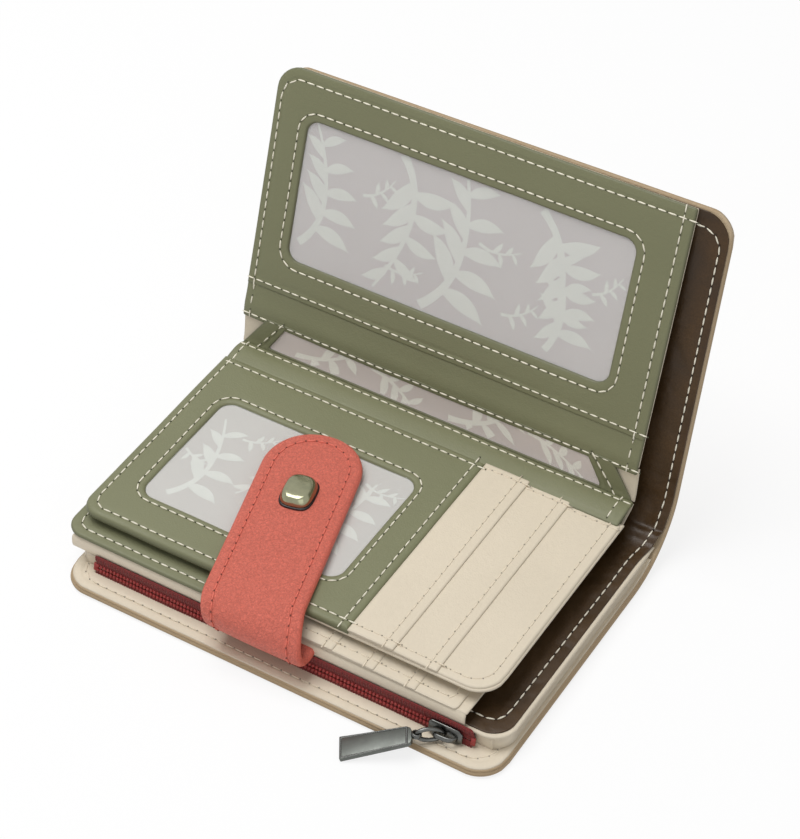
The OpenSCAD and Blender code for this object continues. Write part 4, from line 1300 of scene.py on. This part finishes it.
class MakeStrap(Maker):
    """Coral strap: one piece from its sewn root round the bend to the round tip."""

    bl_idname = "wallet.make_strap"
    bl_label = "Strap"

    def make(self):
        end = STRAP.u[-1]
        fine = [0.8 * i for i in range(1, 45)]
        bend = ("base", "strap", strap_point(-3, 14), strap_point(-1.5, 20))
        leather("strap_leather", strap_place, (-STRAP_HALF, 0, STRAP_HALF, end), (0.5, 0.5, 14.7, 14.7),
                -1.25, 1.25, "coral_leather", bend, "strap_root", "strap", seams=(3.6,), puff=0.22,
                coarse=1.6, extra_u=fine)
        tip = end - 14.7
        round_tip = [(-11.1 * cos(radians(a)), tip + 11.1 * sin(radians(a))) for a in range(10, 180, 10)]
        seam = [(-11.2, 6), (-11.2, tip), *round_tip, (11.2, tip), (11.2, 6)]
        sew("strap_seam", drawn(strap_place, 1.47, seam, step=0.7), "coral_leather", bend)


# Rings of the snap's rim and dome: half width, height and squareness
RIM = ((5.4, -0.3, 3.4), (6.0, 0.0, 3.4), (6.1, 0.35, 3.4), (6.05, 0.7, 3.4), (5.7, 0.85, 3.4))
DOME = ((5.75, 0.7, 3.2), (5.72, 1.3, 3.1), (5.5, 2.1, 3.0), (5.15, 2.8, 2.9), (4.8, 3.25, 2.9),
        (4.5, 3.48, 2.8), (4.2, 3.6, 2.8), (3.4, 3.7, 2.7), (2.4, 3.77, 2.5), (1.2, 3.82, 2.2),
        (0.2, 3.83, 2.0))


class MakeSnap(Maker):
    """Snap: domed square cap on the strap, socket below it and the stud outside the cover."""

    bl_idname = "wallet.make_snap"
    bl_label = "Snap"

    def make(self):
        at = strap_point(SNAP_L, 20.95)
        turn = Matrix.Rotation(STRAP_SKEW - radians(3), 3, "Z")

        def square(r, z, power):
            ring = []
            for a in (2 * pi * i / 64 for i in range(64)):
                k = r * (abs(cos(a)) ** power + abs(sin(a)) ** power) ** (-1 / power)
                ring.append(at + turn @ Vector((k * cos(a) * 0.83, k * sin(a) * 1.03, z)))
            return ring

        rim = loft("snap_rim", [square(*ring) for ring in RIM], "dark_rim")
        dome = loft("snap_dome", [square(*ring) for ring in DOME], "polished_cap")
        joined("snap_cap_body", [rim, dome], "strap", "snap_cap")
        for node in ("snap_socket", "snap_stud"):
            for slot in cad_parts[node].material_slots:
                slot.material = material("gunmetal")


class MakeStage(Maker):
    """Pale floor, soft studio light and the camera at the photograph's angle."""

    bl_idname = "wallet.make_stage"
    bl_label = "Stage"

    def make(self):
        self.floor(3.0, -0.0002)
        self.sky()
        for name, at, size, power in (("key", (-0.3, -0.02, 1.05), 0.75, 8.8),
                                      ("fill", (0.7, -0.7, 0.6), 0.9, 1.6)):
            lamp = bpy.data.lights.new(name, "AREA")
            lamp.shape, lamp.size, lamp.energy = "SQUARE", size, power
            ob = show(name, lamp)
            ob.location = at
            ob.rotation_euler = (Vector((0, 0.01, 0.03)) - Vector(at)).to_track_quat("-Z", "Y").to_euler()
        self.camera()

    def floor(self, r, z):
        t = Tree(bpy.data.materials.new("pale_floor"))
        paint = t.add("ShaderNodeBsdfDiffuse", sockets={"Color": (0.9, 0.9, 0.9)})
        glow = t.add("ShaderNodeEmission", sockets={"Color": (1, 1, 1), "Strength": 1.0})
        both = t.add("ShaderNodeMixShader", sockets={0: t.seen() * 0.8, 1: paint, 2: glow})
        me = bpy.data.meshes.new("floor")
        me.from_pydata([(-r, -r, z), (r, -r, z), (r, r, z), (-r, r, z)], [], [(0, 1, 2, 3)])
        me.materials.append(t.close(both))
        show("floor", me)

    def sky(self):
        """Dim for light that spreads, bright where it is seen or mirrored."""
        world = bpy.context.scene.world or bpy.data.worlds.new("studio")
        bpy.context.scene.world = world
        t = Tree(world, "ShaderNodeOutputWorld")
        dim = t.add("ShaderNodeBackground", sockets={"Color": (1, 1, 1), "Strength": 0.42})
        bright = t.add("ShaderNodeBackground", sockets={"Color": (0.8, 0.8, 0.8), "Strength": 1.0})
        t.close(t.add("ShaderNodeMixShader", sockets={0: t.seen(), 1: dim, 2: bright}))

    def camera(self):
        """Camera fitted to the photograph, from its angles and its shift across the picture."""
        az, el, roll = (radians(v) for v in (32.220, 43.886, 0.898))
        focal, far, shift_right, shift_down, wide = 2763.778, 776.756, -11.345, 27.621, 800
        back = Vector((sin(az) * cos(el), -cos(az) * cos(el), sin(el)))
        level = Vector((cos(az), sin(az), 0))
        sunk = (-back).cross(level)
        right = level * cos(roll) + sunk * sin(roll)
        down = level * -sin(roll) + sunk * cos(roll)
        cam = bpy.data.cameras.new("camera")
        cam.sensor_fit, cam.sensor_width, cam.lens = "HORIZONTAL", 36, focal * 36 / wide
        cam.clip_start = 0.01
        ob = show("camera", cam)
        m = Matrix((right, -down, back)).transposed().to_4x4()
        look = Vector((MIDDLE, 50, 20)) - ORIGIN
        m.translation = (look - right * shift_right - down * shift_down + back * far) / 1000
        ob.matrix_world = m
        bpy.context.scene.camera = ob
        bpy.context.scene.view_settings.view_transform = "Standard"


MAKES = (MakeStage, MakeCover, MakeLiner, MakeCoinPocket, MakeZip, MakeZipPull, MakeNoteWall, MakeSecondLeaf,
         MakeTopLeaf, MakeGapSheets, MakePage, MakeStrap, MakeSnap)


class WalletPanel(bpy.types.Panel):
    """Lists the wallet's pieces, sizes and colours."""

    bl_idname = "VIEW3D_PT_wallet"
    bl_label = "Wallet"
    bl_space_type = "VIEW_3D"
    bl_region_type = "UI"
    bl_category = "Wallet"

    def draw(self, context):
        for cls in MAKES:
            self.layout.operator(cls.bl_idname)
        for group in (context.scene.wallet_sizes, context.scene.wallet_colours):
            for key in group.__annotations__:
                self.layout.prop(group, key)


def register():
    for cls in (WalletColours, WalletSizes, *MAKES, WalletPanel):
        bpy.utils.register_class(cls)
    bpy.types.Scene.wallet_colours = bpy.props.PointerProperty(type=WalletColours)
    bpy.types.Scene.wallet_sizes = bpy.props.PointerProperty(type=WalletSizes)


def unregister():
    del bpy.types.Scene.wallet_sizes
    del bpy.types.Scene.wallet_colours
    for cls in reversed((WalletColours, WalletSizes, *MAKES, WalletPanel)):
        bpy.utils.unregister_class(cls)


def main():
    register()
    for cls in MAKES:
        group, name = cls.bl_idname.split(".")
        getattr(getattr(bpy.ops, group), name)()


if __name__ == "__main__":
    main()
